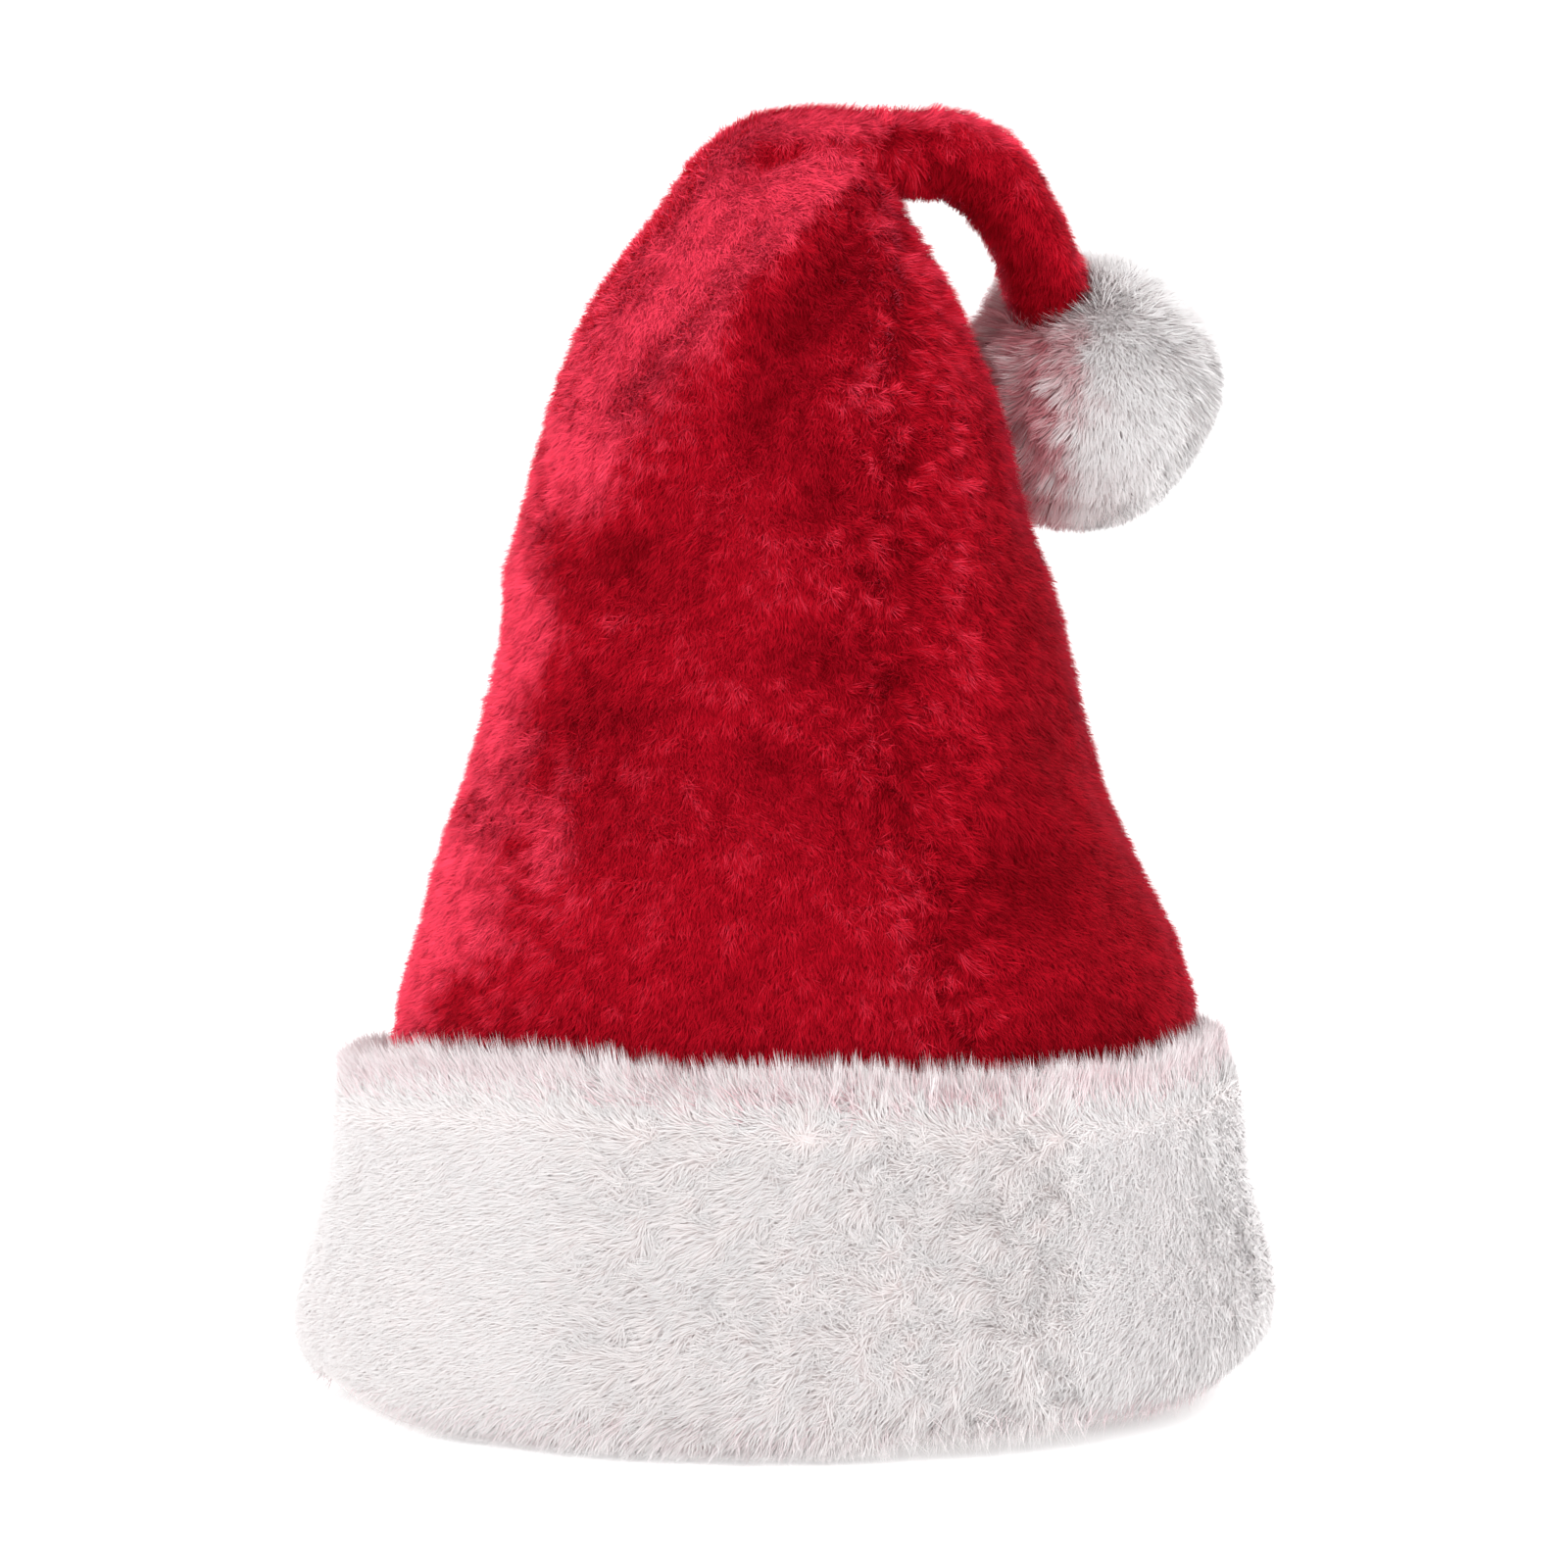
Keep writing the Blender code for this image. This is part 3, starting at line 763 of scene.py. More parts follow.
def rows_of(mesh: bpy.types.Mesh) -> tuple[np.ndarray, np.ndarray]:
    """Reads a mesh's vertices.

    Args:
        mesh: The mesh.

    Returns:
        The vertices' places and their normals, as rows.
    """
    rows = []
    for key in ("co", "normal"):
        flat = np.empty(len(mesh.vertices) * 3)
        mesh.vertices.foreach_get(key, flat)
        rows.append(flat.reshape(-1, 3))
    return rows[0], rows[1]


def hollowness(mesh: bpy.types.Mesh, rounds: int) -> np.ndarray:
    """How far each vertex lies below its surroundings, so that creases can be given painted shade.

    Args:
        mesh: The surface.
        rounds: How many times the surroundings are widened.

    Returns:
        The depth of each vertex in metres, positive in a hollow.
    """
    places, normals = rows_of(mesh)
    ends = np.empty(len(mesh.edges) * 2, dtype=int)
    mesh.edges.foreach_get("vertices", ends)
    ends = ends.reshape(-1, 2)
    count = np.bincount(ends.ravel(), minlength=len(places))[:, None]
    wide = places.copy()
    for _ in range(rounds):
        total = np.zeros_like(wide)
        np.add.at(total, ends[:, 0], wide[ends[:, 1]])
        np.add.at(total, ends[:, 1], wide[ends[:, 0]])
        wide = total / count
    return ((wide - places) * normals).sum(1)


def mottled(places: np.ndarray, size: float, seed: float) -> np.ndarray:
    """A smooth random value from about -1 to 1 at each place, with patches of the given size."""
    shift = Vector((seed, 2 * seed, 3 * seed))
    return np.array([noise.noise(Vector(row) / size + shift) for row in places])


def write_groom(mesh: bpy.types.Mesh, values: dict[Groom, np.ndarray]) -> None:
    """Stores the grooming on a surface as point attributes.

    Args:
        mesh: The surface.
        values: One row for each vertex, for every field.
    """
    for key, rows in values.items():
        is_vector = rows.ndim == 2
        kind = "FLOAT_VECTOR" if is_vector else "FLOAT"
        layer = mesh.attributes.new(key.value, kind, "POINT")
        layer.data.foreach_set("vector" if is_vector else "value", rows.ravel())


def along_surface(directions: np.ndarray, normals: np.ndarray) -> np.ndarray:
    """What is left of each direction along the surface."""
    return directions - normals * (directions * normals).sum(1)[:, None]


def soft_step(values: np.ndarray, low: float, high: float) -> np.ndarray:
    """A smooth rise from 0 at low to 1 at high."""
    t = np.clip((values - low) / (high - low), 0.0, 1.0)
    return t * t * (3.0 - 2.0 * t)


def near(distance: np.ndarray, reach: float) -> np.ndarray:
    """A smooth hump: 1 at a distance of 0, and nearly 0 beyond twice the reach."""
    return np.exp(-((distance / reach) ** 2))


def show(name: str, mesh: bpy.types.Mesh, material: bpy.types.Material) -> bpy.types.Object:
    """Makes an object of a mesh with one material.

    Args:
        name: The object's name.
        mesh: The mesh.
        material: The material.

    Returns:
        The object.
    """
    mesh.materials.clear()
    mesh.materials.append(material)
    LOG.info("%s: %d faces", name, len(mesh.polygons))
    return linked(name, mesh)


class SeamPoint(NamedTuple):
    """A point of the crown's front seam: how far to the right it runs at this height."""

    rise: float
    across: float


class PaintedLightPatch(NamedTuple):
    """A patch of painted light on the crown's front, or painted shade if below 0."""

    across: float
    rise: float
    reach: float
    gleam: float


# Across, rise and reach in millimetres, and the painted light in hundredths, below 0 for painted
# shade.
CROWN_PAINTED_LIGHT = (
    (-66, 249, 8, -22), (-40, 226, 8, -20), (12, 242, 9, -20), (20, 222, 8, -15),
    (12, 195, 9, -20), (-5, 169, 10, -20), (-53, 189, 9, -18), (53, 140, 10, -16),
    (-83, 106, 9, -20), (0, 288, 14, -30), (14, 306, 12, -25), (-4, 262, 16, -18),
    (52, 165, 16, -10), (56, 128, 18, -13), (30, 328, 10, -10), (14, 334, 9, 35),
    (1, 320, 9, 40), (-12, 304, 10, 40), (-22, 288, 10, 45), (-34, 318, 22, 50),
    (-44, 290, 20, 40), (-52, 266, 16, 35), (-52, 240, 11, 25), (-72, 208, 12, 25),
    (-80, 180, 12, 30), (-88, 135, 14, 30), (-62, 150, 10, 18),
)


@dataclass
class Crown:
    """The red cone with its folded tip and tail."""

    node: bpy.types.Object
    cuff_top: float = 0.093
    piles: tuple[Pile, ...] = (
        CROWN_PILE,
        replace(CROWN_PILE, length=0.0042, width=0.00034, tuft=0.20),
        replace(CROWN_PILE, length=0.0048, width=0.00028, rise=0.32, stray=0.6, tuft=0.35),
    )
    seam: tuple[SeamPoint, ...] = (
        SeamPoint(0.100, 0.049),
        SeamPoint(0.133, 0.041),
        SeamPoint(0.157, 0.034),
        SeamPoint(0.185, 0.026),
        SeamPoint(0.215, 0.031),
        SeamPoint(0.267, 0.031),
        SeamPoint(0.324, 0.031),
    )
    patches: tuple[PaintedLightPatch, ...] = tuple(
        PaintedLightPatch(across / 1000, rise / 1000, reach / 1000, gleam / 100)
        for across, rise, reach, gleam in CROWN_PAINTED_LIGHT
    )
    lobe: Vector = field(default_factory=lambda: Vector((0.081, 0.000, 0.306)))
    lobe_reach: float = 0.009
    lobe_height: float = 0.0035
    ripple: float = 0.0009
    fine_ripple: float = 0.6
    puff: float = 0.0007
    tail_puff: float = 0.0010
    rim_height: float = 0.0008
    hem_cover: Span = (0.081, 0.085)
    part_reach: float = 0.010
    part_comb: float = 0.7
    fold_comb: float = 1.4
    seam_reach: float = 0.018
    seam_wave: float = 0.003
    parting_reach: float = 0.0028
    base_shade: float = 0.36
    side_gleam: float = 0.62
    fold_gleam: float = 0.60
    right_dim: float = 0.24
    tail_dim: float = 0.45
    hollow_depth: float = 0.0016
    hollow_dim: float = 0.14
    parting_dim: float = 0.35
    foot_dim: float = 0.12
    foot_reach: float = 0.016

    def outer_skin(self) -> bmesh.types.BMesh:
        """Cuts the crown's outer skin free of its inside and its hem's edge.

        Returns:
            The outer skin as an open cage.
        """
        bm = merged_cage(self.node)
        lowest = min(vertex.co.z for vertex in bm.verts)
        rim = [f for f in bm.faces if all(v.co.z < lowest + self.rim_height for v in f.verts)]
        bmesh.ops.delete(bm, geom=rim, context="FACES")
        islands, seen = [], set()
        for start in bm.faces:
            if start in seen:
                continue
            island, ahead = [], [start]
            seen.add(start)
            while ahead:
                face = ahead.pop()
                island.append(face)
                for edge in face.edges:
                    fresh = [f for f in edge.link_faces if f not in seen]
                    seen.update(fresh)
                    ahead.extend(fresh)
            islands.append(island)
        islands.sort(key=lambda faces: max(v.co.x - v.co.z for f in faces for v in f.verts))
        inside = [face for island in islands[:-1] for face in island]
        bmesh.ops.delete(bm, geom=inside, context="FACES")
        return bm

    def rumple(self, mesh: bpy.types.Mesh) -> None:
        """Ripples the cloth a little and gathers the tail's end, without moving its hem.

        Args:
            mesh: The crown's surface.
        """
        places, normals = rows_of(mesh)
        free = soft_step(places[:, 2], self.cuff_top, self.cuff_top + 0.01)
        on_tail = soft_step(places[:, 0], 0.030, 0.050) * soft_step(places[:, 2], 0.28, 0.31)
        push = self.puff + self.tail_puff * on_tail * soft_step(normals[:, 2], 0.0, 0.8)
        fine = self.fine_ripple * mottled(places, 0.005, 43.0)
        push = push + self.ripple * (mottled(places, 0.012, 41.0) + fine)
        apart = np.linalg.norm(places - self.lobe, axis=1)
        push += self.lobe_height * near(apart, self.lobe_reach) * (normals[:, 0] > 0)
        places += normals * (push * free)[:, None]
        mesh.vertices.foreach_set("co", places.ravel())
        mesh.update()

    def seam_gap(self, places: np.ndarray) -> np.ndarray:
        """How far each place is to the right of the seam on its side of the hat.

        Args:
            places: The places as rows.

        Returns:
            One distance for each row, below 0 to the seam's left.
        """
        rises, across = zip(*self.seam)
        front = np.interp(places[:, 2], rises, across)
        front = front + self.seam_wave * mottled(places * (0.2, 0.2, 1.0), 0.012, 23.0)
        return np.where(places[:, 1] < 0, places[:, 0] - front, places[:, 0] + front)

    def groom(
        self, mesh: bpy.types.Mesh, pompom_middle: np.ndarray, pompom_radius: float
    ) -> dict[Groom, np.ndarray]:
        """Combs the crown's pile: down its sides, tousled at the seam, smooth to its right.

        Args:
            mesh: The crown's surface.
            pompom_middle: The pompom's centre.
            pompom_radius: The radius inside which the tail is hidden.

        Returns:
            One row for each vertex, for every field.
        """
        places, normals = rows_of(mesh)
        x, _, z = places.T
        gap = self.seam_gap(places)
        parted = self.part_comb * np.sign(gap) * near(gap, self.part_reach)
        over_fold = self.fold_comb * soft_step(normals[:, 2], 0.1, 0.7)
        backwards = 0.25 * np.abs(normals[:, 0])
        down = np.stack([parted - 0.10 + over_fold, backwards, np.full_like(x, -1.0)], 1)
        near_seam = near(gap, self.seam_reach) * (1.0 - soft_step(x, 0.05, 0.07))
        tail = soft_step(x, 0.030, 0.045) * soft_step(z, 0.29, 0.31)
        right = soft_step(x, 0.045, 0.065) * (1.0 - tail)
        hollow = hollowness(mesh, 14)
        level = places * (0.7, 0.7, 1.2)
        shade = self.base_shade + 0.11 * mottled(level, 0.026, 3.0)
        shade += 0.15 * mottled(level, 0.009, 8.0)
        # Painted light on the left-facing side, towards the key light, and painted shade on the
        # right panel.
        shade += self.side_gleam * soft_step(-normals[:, 0], 0.45, 1.0) - self.right_dim * right
        # A painted highlight on the top of the fold and tail, and painted shade under the tail.
        shade += self.fold_gleam * soft_step(normals[:, 2], 0.1, 0.9) * soft_step(z, 0.29, 0.32)
        shade -= self.tail_dim * soft_step(-normals[:, 2], 0.0, 0.7) * tail
        # Painted shade in the creases.
        shade -= np.clip(hollow / self.hollow_depth, -1.0, 1.0) * self.hollow_dim
        # Painted light and painted shade in patches on the front.
        facing = soft_step(-normals[:, 1], -0.3, 0.3)
        for patch in self.patches:
            apart = np.hypot(x - patch.across, z - patch.rise)
            shade += facing * patch.gleam * near(apart, patch.reach)
        ragged = np.clip(0.35 + 1.3 * mottled(places, 0.007, 31.0), 0.0, 1.0)
        parting = near(gap, self.parting_reach) * (1.0 - tail) * ragged
        shade -= self.parting_dim * parting
        # Painted shade along the crown's foot, where the cuff meets it.
        above_cuff = soft_step(z, self.cuff_top, self.cuff_top + self.foot_reach)
        shade -= self.foot_dim * (1.0 - above_cuff)
        from_pompom = np.linalg.norm(places - pompom_middle, axis=1)
        cover = soft_step(z, *self.hem_cover)
        cover *= (from_pompom > pompom_radius).astype(float)
        return {
            Groom.COMB: along_surface(down, normals),
            Groom.PILE: 1.0 + 0.15 * near_seam - 0.35 * parting - 0.10 * tail,
            Groom.COVER: cover,
            Groom.TOUSLE: 0.65 + 0.75 * near_seam - 0.32 * right,
            Groom.STAND: 0.05 * near_seam,
            Groom.SHADE: shade,
        }

    def build(self, mill: PileMill, pompom: "Pompom") -> None:
        """Builds the cloth and the pile over it, and puts them on the hat's body.

        Args:
            mill: What grows the pile.
            pompom: The pompom that the tail ends in.
        """
        cloth_mesh = smoothed(merged_cage(self.node), "crown_cloth", 1)
        cloth = show("crown_cloth", cloth_mesh, RED_CLOTH.material())
        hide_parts(Body.CROWN.value)
        self.rumple(cloth_mesh)
        pieces = [cloth]
        skin = smoothed(self.outer_skin(), "crown_skin", 2)
        self.rumple(skin)
        hidden = pompom.core_radius - 0.002
        write_groom(skin, self.groom(skin, pompom.middle(), hidden))
        shade = self.groom(cloth.data, pompom.middle(), hidden)[Groom.SHADE]
        write_groom(cloth.data, {Groom.SHADE: shade})
        dye = RED_PILE.material()
        for k, pile in enumerate(self.piles):
            pieces.append(mill.grow(f"crown_pile_{k + 1}", skin, pile, dye, 40 + k))
        for piece in pieces:
            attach(piece, "root")


class LipPoint(NamedTuple):
    """A point of the cuff's top edge: how far it sags at this place across the hat."""

    across: float
    sag: float


@dataclass
class Cuff:
    """The wide white band of long pile round the opening."""

    node: bpy.types.Object
    height: float = 0.093
    piles: tuple[Pile, ...] = (
        CUFF_PILE,
        replace(CUFF_PILE, density=1.8e6, length=0.0072, width=0.00034, rise=0.14, tuft=0.45),
    )
    fringe: Pile = FRINGE
    clear_of_crown: float = 0.002
    settle_rounds: int = 3
    puff: float = 0.0034
    lift_reach: float = 0.30
    front_lift: float = 0.0045
    end_lift: float = 0.0060
    lip: tuple[LipPoint, ...] = (
        LipPoint(-0.120, 0.0045),
        LipPoint(-0.105, 0.0030),
        LipPoint(-0.095, 0.0000),
        LipPoint(-0.050, 0.0000),
        LipPoint(-0.025, 0.0025),
        LipPoint(0.020, 0.0030),
        LipPoint(0.055, 0.0042),
        LipPoint(0.090, 0.0030),
        LipPoint(0.104, 0.0000),
        LipPoint(0.115, -0.0030),
    )
    lip_reach: float = 0.50
    corner_out: float = 0.0040
    corner_start: float = 0.108
    corner_reach: float = 0.008
    end_start: float = 0.100
    end_reach: float = 0.025
    foot_hold: float = 0.002
    top_span: Span = (0.82, 0.96)
    lip_span: Span = (0.90, 0.96)
    foot_span: Span = (0.04, 0.16)
    base_shade: float = 0.62
    cloud: float = 0.10
    centre_gleam: float = 0.10
    crescent_dim: float = 0.15
    right_dim: float = 0.24
    ridge_gleam: float = 0.25
    groove_dim: float = 0.12
    hollow_depth: float = 0.0012
    hollow_dim: float = 0.08
    fringe_shade: float = 0.44

    def cage(self, crown_skin: BVHTree) -> bmesh.types.BMesh:
        """Makes the cuff's cage, with the locks on its outside settled into soft padding.

        Args:
            crown_skin: The crown's outer skin, to tell the cuff's outside by.

        Returns:
            The cage.
        """
        bm = merged_cage(self.node)
        outside = []
        for vertex in bm.verts:
            spot, normal, _, _ = crown_skin.find_nearest(vertex.co)
            outside.append((vertex.co - spot).dot(normal) > self.clear_of_crown)
        loose = [v for v, out in zip(bm.verts, outside) if out and v.co.z > self.foot_hold]
        for _ in range(self.settle_rounds):
            bmesh.ops.smooth_vert(
                bm, verts=loose, factor=0.5, use_axis_x=True, use_axis_y=True, use_axis_z=True
            )
        bm.normal_update()
        for vertex in loose:
            share = vertex.co.z / self.height
            swell = min(1.0, share / 0.12) * min(1.0, max(0.0, (1.03 - share) / 0.06))
            vertex.co += vertex.normal * (self.puff * swell)
        for vertex in bm.verts:
            share = vertex.co.z / self.height
            low = max(0.0, 1.0 - share / self.lift_reach) ** 2
            high = max(0.0, 1.0 - (1.0 - share) / self.lip_reach) ** 2
            corner = (-self.corner_start - vertex.co.x) / self.corner_reach
            corner = min(1.0, max(0.0, corner))
            vertex.co.z += low * self.foot_lift(vertex.co) - high * self.lip_sag(vertex.co.x)
            vertex.co.x -= high * corner * self.corner_out
        return bm

    def lip_sag(self, x: np.ndarray | float) -> np.ndarray | float:
        """How far the cuff's top edge sags at each x, less than 0 where it stands up."""
        across, sags = zip(*self.lip)
        return np.interp(x, across, sags)

    def foot_lift(self, place: Vector) -> float:
        """How far the cuff's foot is lifted: in front on the right, and at both ends.

        Args:
            place: A point of the cuff.

        Returns:
            The lift at that point.
        """
        corner = min(1.0, max(0.0, (abs(place.x) - self.end_start) / self.end_reach))
        in_front = 1.0 if place.y < 0 else 0.0
        right = min(1.0, max(0.0, (place.x - 0.004) / 0.022))
        return in_front * self.front_lift * right + self.end_lift * corner

    def groom(
        self, mesh: bpy.types.Mesh, crown_skin: BVHTree, is_fringe: bool = False
    ) -> dict[Groom, np.ndarray]:
        """Combs the cuff's pile: up at its top edge, tousled in front, down to its foot.

        Args:
            mesh: The cuff's surface.
            crown_skin: The crown's outer skin, to tell the cuff's outside by.
            is_fringe: Whether only the edges grow pile, for their longer locks.

        Returns:
            One row for each vertex, for every field.
        """
        places, normals = rows_of(mesh)
        x, _, z = places.T
        out = np.empty(len(places))
        for k, row in enumerate(places):
            spot, normal, _, _ = crown_skin.find_nearest(Vector(row))
            out[k] = (Vector(row) - spot).dot(normal)
        share = z / (self.height - self.lip_sag(x))
        inner = 0.0015 * (1.0 - soft_step(share, *self.lip_span))
        outside = soft_step(out - inner, 0.0002, 0.0012)
        top = soft_step(share, *self.top_span)
        foot = 1.0 - soft_step(share, *self.foot_span)
        upward = (1.0 - top) * (-0.30 - 0.60 * foot) + 0.9 * top
        aside = -0.60 + 0.3 * mottled(places, 0.05, 5.0)
        turning = np.stack([aside, 0.35 * np.abs(normals[:, 0]), upward], 1)
        front = soft_step(-normals[:, 1], 0.2, 0.7)
        back = soft_step(normals[:, 1], 0.3, 0.8)
        centre = front * soft_step(x, -0.070, -0.040) * (1.0 - soft_step(x, 0.066, 0.082))
        centre = np.maximum(centre, 0.8 * back)
        low_left = near(x + 0.085, 0.035) * front
        smooth_rise = 0.011 - 0.28 * (x + 0.114)
        crescent = (z < smooth_rise) * (x > -0.122) * (x < -0.070) * (normals[:, 1] < 0.1)
        hollow = hollowness(mesh, 12)
        clouds = self.cloud * mottled(places, 0.024, 13.0)
        shade = self.base_shade + clouds
        # Painted shade in the creases.
        shade -= np.clip(hollow / self.hollow_depth, -1.0, 1.0) * self.hollow_dim
        shade += self.centre_gleam * centre - self.crescent_dim * crescent
        # Painted shade towards the right, away from the key light.
        shade -= self.right_dim * (1.0 - centre) * soft_step(x, 0.03, 0.08)
        # A painted highlight along a line below the top edge, with a painted shade just above it.
        painted_ridge_line, painted_groove_line = near(share - 0.865, 0.010), near(share - 0.89, 0.012)
        shade += self.ridge_gleam * painted_ridge_line - self.groove_dim * painted_groove_line
        cover = outside * (1.0 - soft_step(-normals[:, 2], 0.75, 0.95)) * (1.0 - crescent)
        stand = 0.26 * soft_step(share, 0.95, 1.0) + 0.14 * centre - 0.12
        pile = 0.80 + 0.20 * centre + 0.10 * mottled(places, 0.02, 1.0)
        if is_fringe:
            lip = soft_step(share, *self.lip_span) * soft_step(out, 0.0002, 0.0010)
            cover = lip + cover * foot * (1.0 - 0.7 * low_left) * 0.6
            # The fringe's tips over the red get one tone near the pink dark end: painted reflection
            # of the red crown and painted shade.
            shade = shade + top * (self.fringe_shade + clouds - shade)
            stand = stand + 0.20 * foot + 0.35 * soft_step(share, 0.96, 1.0)
        return {
            Groom.COMB: along_surface(turning, normals),
            Groom.PILE: pile,
            Groom.COVER: cover,
            Groom.TOUSLE: 0.18 + 0.80 * centre + 0.30 * top + 0.40 * foot,
            Groom.STAND: stand,
            Groom.SHADE: shade,
        }

    def build(self, mill: PileMill, crown_skin: BVHTree) -> None:
        """Builds the cloth and the pile over it, and puts them on the hat's body.

        Args:
            mill: What grows the pile.
            crown_skin: The crown's outer skin.
        """
        cloth_mesh = smoothed(self.cage(crown_skin), "cuff_cloth", 1)
        cloth = show("cuff_cloth", cloth_mesh, WHITE_CLOTH.material())
        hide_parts(Body.CUFF.value)
        pieces = [cloth]
        dye = WHITE_PILE.material()
        ground = smoothed(self.cage(crown_skin), "cuff_ground", 2)
        edges = ground.copy()
        write_groom(ground, self.groom(ground, crown_skin))
        write_groom(edges, self.groom(edges, crown_skin, is_fringe=True))
        write_groom(cloth_mesh, {Groom.SHADE: self.groom(cloth_mesh, crown_skin)[Groom.SHADE]})
        for k, pile in enumerate(self.piles):
            pieces.append(mill.grow(f"cuff_pile_{k + 1}", ground, pile, dye, 60 + k))
        pieces.append(mill.grow("cuff_fringe", edges, self.fringe, FRINGE_PILE.material(), 70))
        for piece in pieces:
            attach(piece, "root")


class Dent(NamedTuple):
    """A flattened side of the pompom: its turn from +X, its half width, both in degrees."""

    turn: float
    spread: float
    depth: float


@dataclass
class Pompom:
    """The white ball of pile at the tail's end."""

    node: bpy.types.Object
    core_radius: float = 0.0365
    seat_radius: float = 0.0330
    pile: Pile = POMPOM_PILE
    dents: tuple[Dent, ...] = (
        Dent(-35.0, 26.0, 0.10),
        Dent(46.0, 14.0, 0.04),
        Dent(150.0, 25.0, 0.04),
    )

    def middle(self) -> np.ndarray:
        """The pompom's centre, in the middle of its CAD box."""
        low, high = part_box(Body.POMPOM.value)
        return (np.array(low) + np.array(high)) / 2

    def core(self) -> bmesh.types.BMesh:
        """Draws the CAD locks in to a smooth ball that keeps its seat for the tail.

        Returns:
            The ball's cage.
        """
        bm = merged_cage(self.node)
        middle = Vector(self.middle())
        for vertex in bm.verts:
            way = vertex.co - middle
            if way.length > self.seat_radius:
                turn = math.degrees(math.atan2(way.z, way.x))
                radius = self.core_radius
                for dent in self.dents:
                    off = (turn - dent.turn + 180.0) % 360.0 - 180.0
                    share = math.exp(-((off / dent.spread) ** 2)) * (1.0 - abs(way.normalized().y))
                    radius -= dent.depth * share * self.core_radius
                vertex.co = middle + way.normalized() * radius
        return bm

    def groom(self, mesh: bpy.types.Mesh) -> dict[Groom, np.ndarray]:
        """Combs the ball's pile outwards, and down to the left on its left side.

        Args:
            mesh: The ball's surface.

        Returns:
            One row for each vertex, for every field.
        """
        places, normals = rows_of(mesh)
        away = places - self.middle()
        distance = np.linalg.norm(away, axis=1)
        x, y, z = (away / distance[:, None]).T
        left = soft_step(-x, -0.20, 0.50)
        hang = np.stack([-0.7 * left, 0.4 * soft_step(z, 0.0, 0.7), -0.5 - 0.3 * left], 1)
        # The left side, next to the red crown, is pink and darker: painted reflection of the red
        # crown and painted shade.
        shade = 0.70 + 0.08 * mottled(places, 0.02, 17.0) - 0.66 * left
        return {
            Groom.COMB: along_surface(hang, normals),
            Groom.PILE: 0.85 + 0.20 * left,
            Groom.COVER: (distance > self.seat_radius - 0.0008).astype(float),
            Groom.TOUSLE: 0.12 + 0.9 * left,
            Groom.STAND: 0.10 + 0.15 * left,
            Groom.SHADE: shade,
        }

    def build(self, mill: PileMill) -> None:
        """Builds the ball and its pile, and puts them on the hat's body.

        Args:
            mill: What grows the pile.
        """
        core = show("pompom_core", smoothed(self.core(), "pompom_core", 1), POMPOM_CLOTH_WITH_RED_REFLECTION.material())
        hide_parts(Body.POMPOM.value)
        surface = smoothed(self.core(), "pompom_surface", 1)
        fields = self.groom(surface)
        write_groom(surface, fields)
        write_groom(core.data, {Groom.SHADE: fields[Groom.SHADE]})
        tufts = mill.grow("pompom_pile", surface, self.pile, POMPOM_PILE_WITH_RED_REFLECTION.material(), 80)
        for piece in (core, tufts):
            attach(piece, "root")


class Lamp(NamedTuple):
    """A square soft light: its name, where it stands, its side and its power in watts."""

    name: str
    place: tuple[float, float, float]
    size: float
    power: float


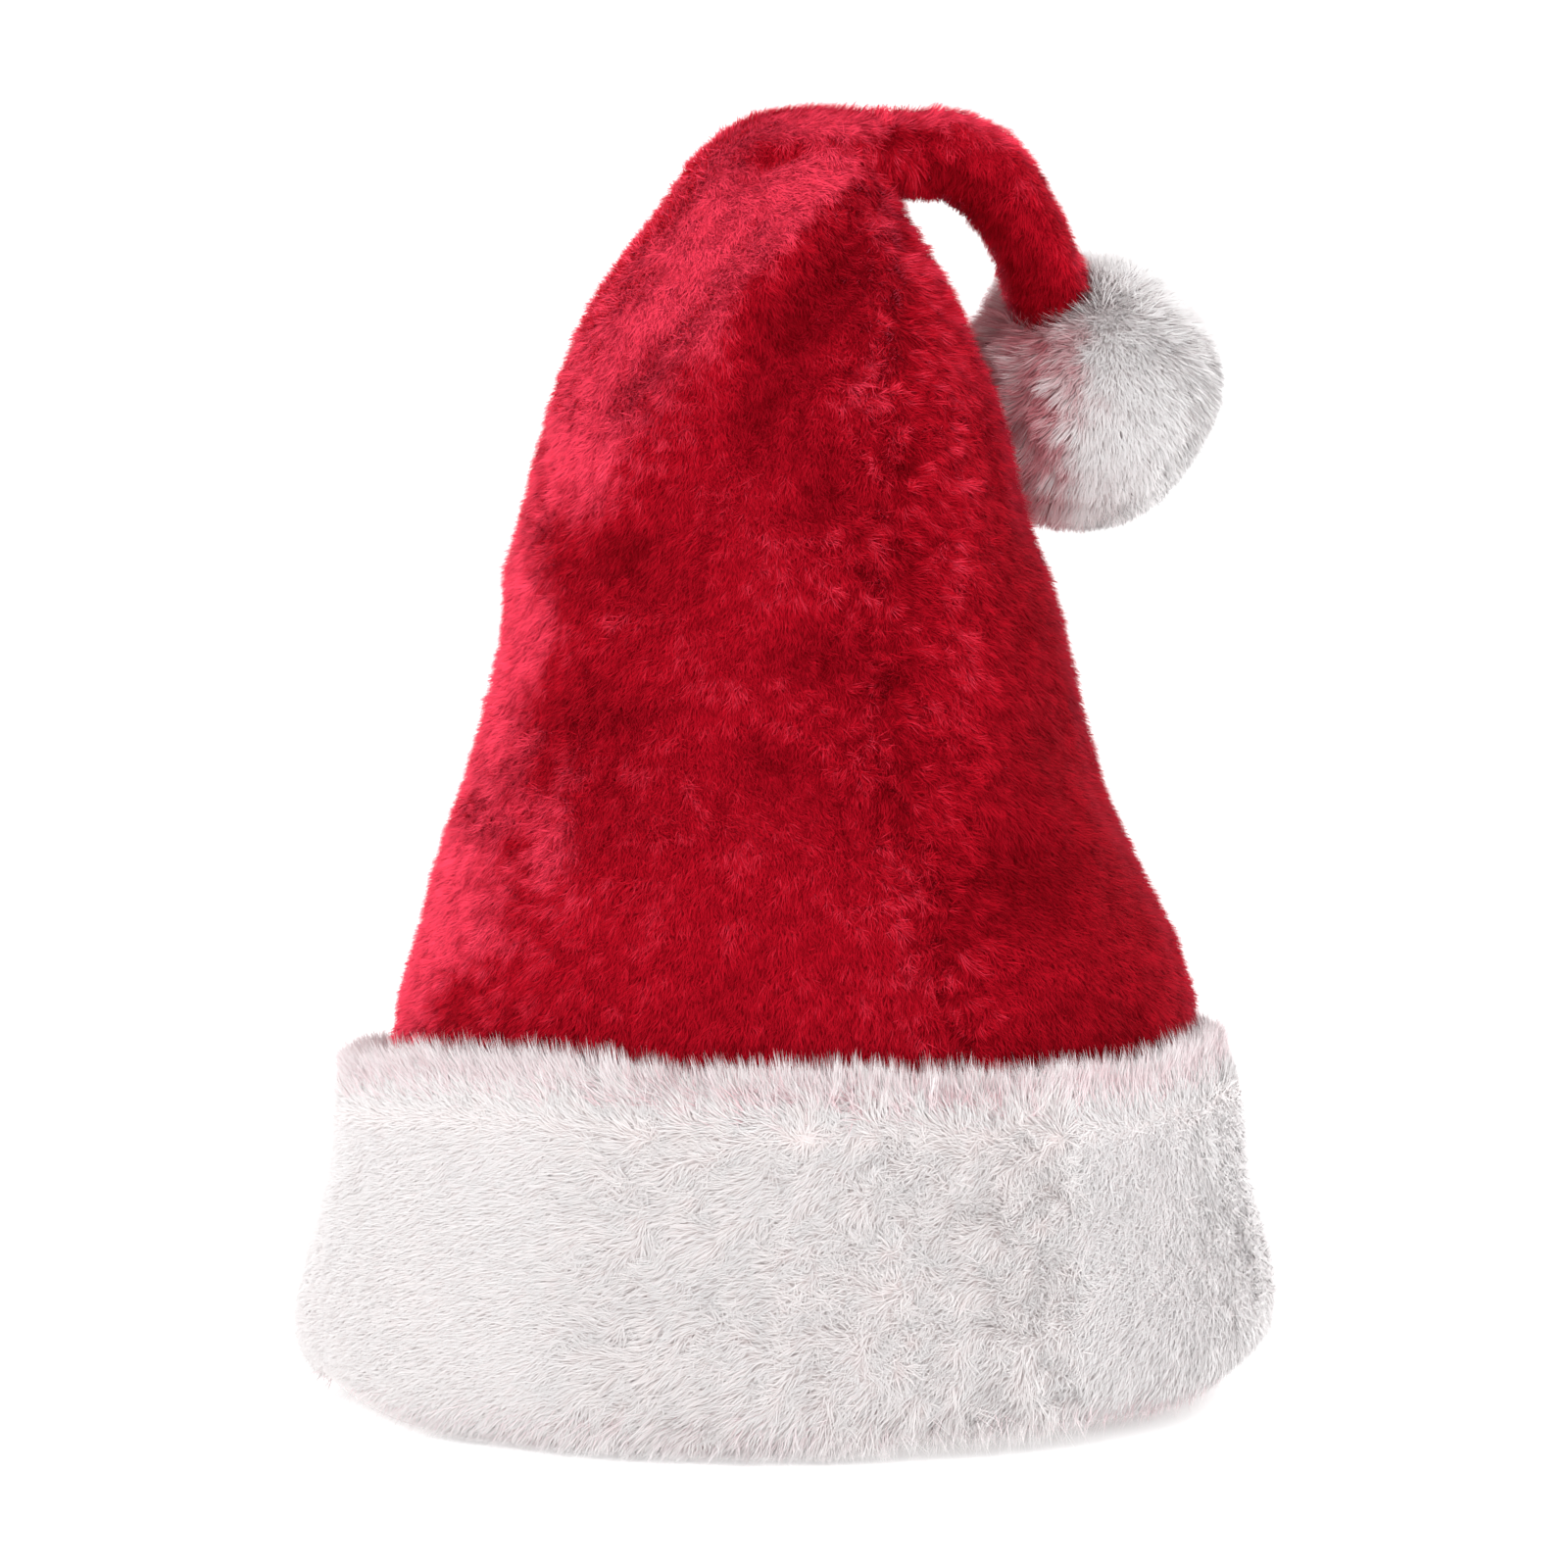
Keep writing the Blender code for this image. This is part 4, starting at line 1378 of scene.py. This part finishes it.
@dataclass
class Studio:
    """A white bowl of a backdrop, soft lights and the camera."""

    floor_radius: float = 2.2
    bend_radius: float = 1.2
    bend_steps: int = 12
    wall_height: float = 3.2
    sides: int = 96
    paper: Colour = (0.93, 0.93, 0.93)
    paper_glow: float = 0.34
    sky: float = 0.68
    lamps: tuple[Lamp, ...] = (
        Lamp("key", (-1.0, -1.1, 1.6), 1.2, 13.0),
        Lamp("fill", (1.4, -1.3, 0.6), 1.6, 9.0),
        Lamp("side", (1.3, 0.4, 1.3), 1.4, 14.0),
        Lamp("back", (-1.2, 1.4, 1.2), 1.2, 9.0),
    )
    aim: tuple[float, float, float] = (0.0, 0.0, 0.16)
    camera_distance: float = 0.76
    camera_height: float = 0.165
    lens: float = 63.3
    sensor: float = 36.0
    max_bounces: int = 5
    diffuse_bounces: int = 4

    def backdrop(self) -> None:
        """Builds the seamless floor that bends up into a round wall."""
        rings = [(0.0, 0.0), (self.floor_radius, 0.0)]
        for k in range(1, self.bend_steps + 1):
            turn = math.radians(90 * k / self.bend_steps)
            across = self.floor_radius + self.bend_radius * math.sin(turn)
            rings.append((across, self.bend_radius * (1 - math.cos(turn))))
        rings.append((self.floor_radius + self.bend_radius, self.wall_height))
        bm = bmesh.new()
        turns = [2 * math.pi * k / self.sides for k in range(self.sides)]
        pole = bm.verts.new((0, 0, 0))
        loops = [
            [bm.verts.new((r * math.cos(a), r * math.sin(a), h)) for a in turns]
            for r, h in rings[1:]
        ]
        for k in range(self.sides):
            after = (k + 1) % self.sides
            bm.faces.new((pole, loops[0][k], loops[0][after]))
            for low, high in zip(loops, loops[1:]):
                bm.faces.new((low[k], high[k], high[after], low[after]))
        mesh = bpy.data.meshes.new("backdrop")
        bm.to_mesh(mesh)
        bm.free()
        mesh.shade_smooth()
        material, _, shader = new_material("backdrop_paper")
        set_inputs(
            shader,
            Base_Color=(*self.paper, 1.0),
            Roughness=0.9,
            Emission_Color=(*WHITE, 1.0),
            Emission_Strength=self.paper_glow,
        )
        show("backdrop", mesh, material)

    def light(self, lamp: Lamp) -> None:
        """Adds a square soft light that looks at the hat.

        Args:
            lamp: The light.
        """
        data = bpy.data.lights.new(lamp.name, "AREA")
        data.size = lamp.size
        data.energy = lamp.power
        thing = linked(lamp.name, data)
        thing.location = lamp.place
        view = Vector(self.aim) - Vector(lamp.place)
        thing.rotation_euler = view.to_track_quat("-Z", "Y").to_euler()

    def build(self) -> None:
        """Builds the backdrop, the lights and the camera."""
        self.backdrop()
        for lamp in self.lamps:
            self.light(lamp)
        world = bpy.data.worlds.new("studio")
        world.use_nodes = True
        sky = world.node_tree.nodes["Background"]
        set_inputs(sky, Color=(*WHITE, 1.0), Strength=self.sky)
        data = bpy.data.cameras.new("camera")
        data.lens = self.lens
        data.sensor_width = self.sensor
        camera = linked("camera", data)
        camera.location = (0.0, -self.camera_distance, self.camera_height)
        camera.rotation_euler = (math.radians(90), 0.0, 0.0)
        scene = bpy.context.scene
        scene.world = world
        scene.camera = camera
        scene.view_settings.view_transform = "Standard"
        scene.cycles.max_bounces = self.max_bounces
        scene.cycles.diffuse_bounces = self.diffuse_bounces


def main() -> None:
    """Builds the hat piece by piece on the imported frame, then the studio round it."""
    logging.basicConfig(level=logging.INFO, format="%(name)s: %(message)s")
    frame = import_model()
    nodes = frame["nodes"]
    mill = PileMill()
    crown = Crown(nodes[Body.CROWN.value])
    pompom = Pompom(nodes[Body.POMPOM.value])
    skin = crown.outer_skin()
    crown_skin = BVHTree.FromBMesh(skin)
    skin.free()
    crown.build(mill, pompom)
    Cuff(nodes[Body.CUFF.value]).build(mill, crown_skin)
    pompom.build(mill)
    mill.close()
    Studio().build()


if __name__ == "__main__":
    main()
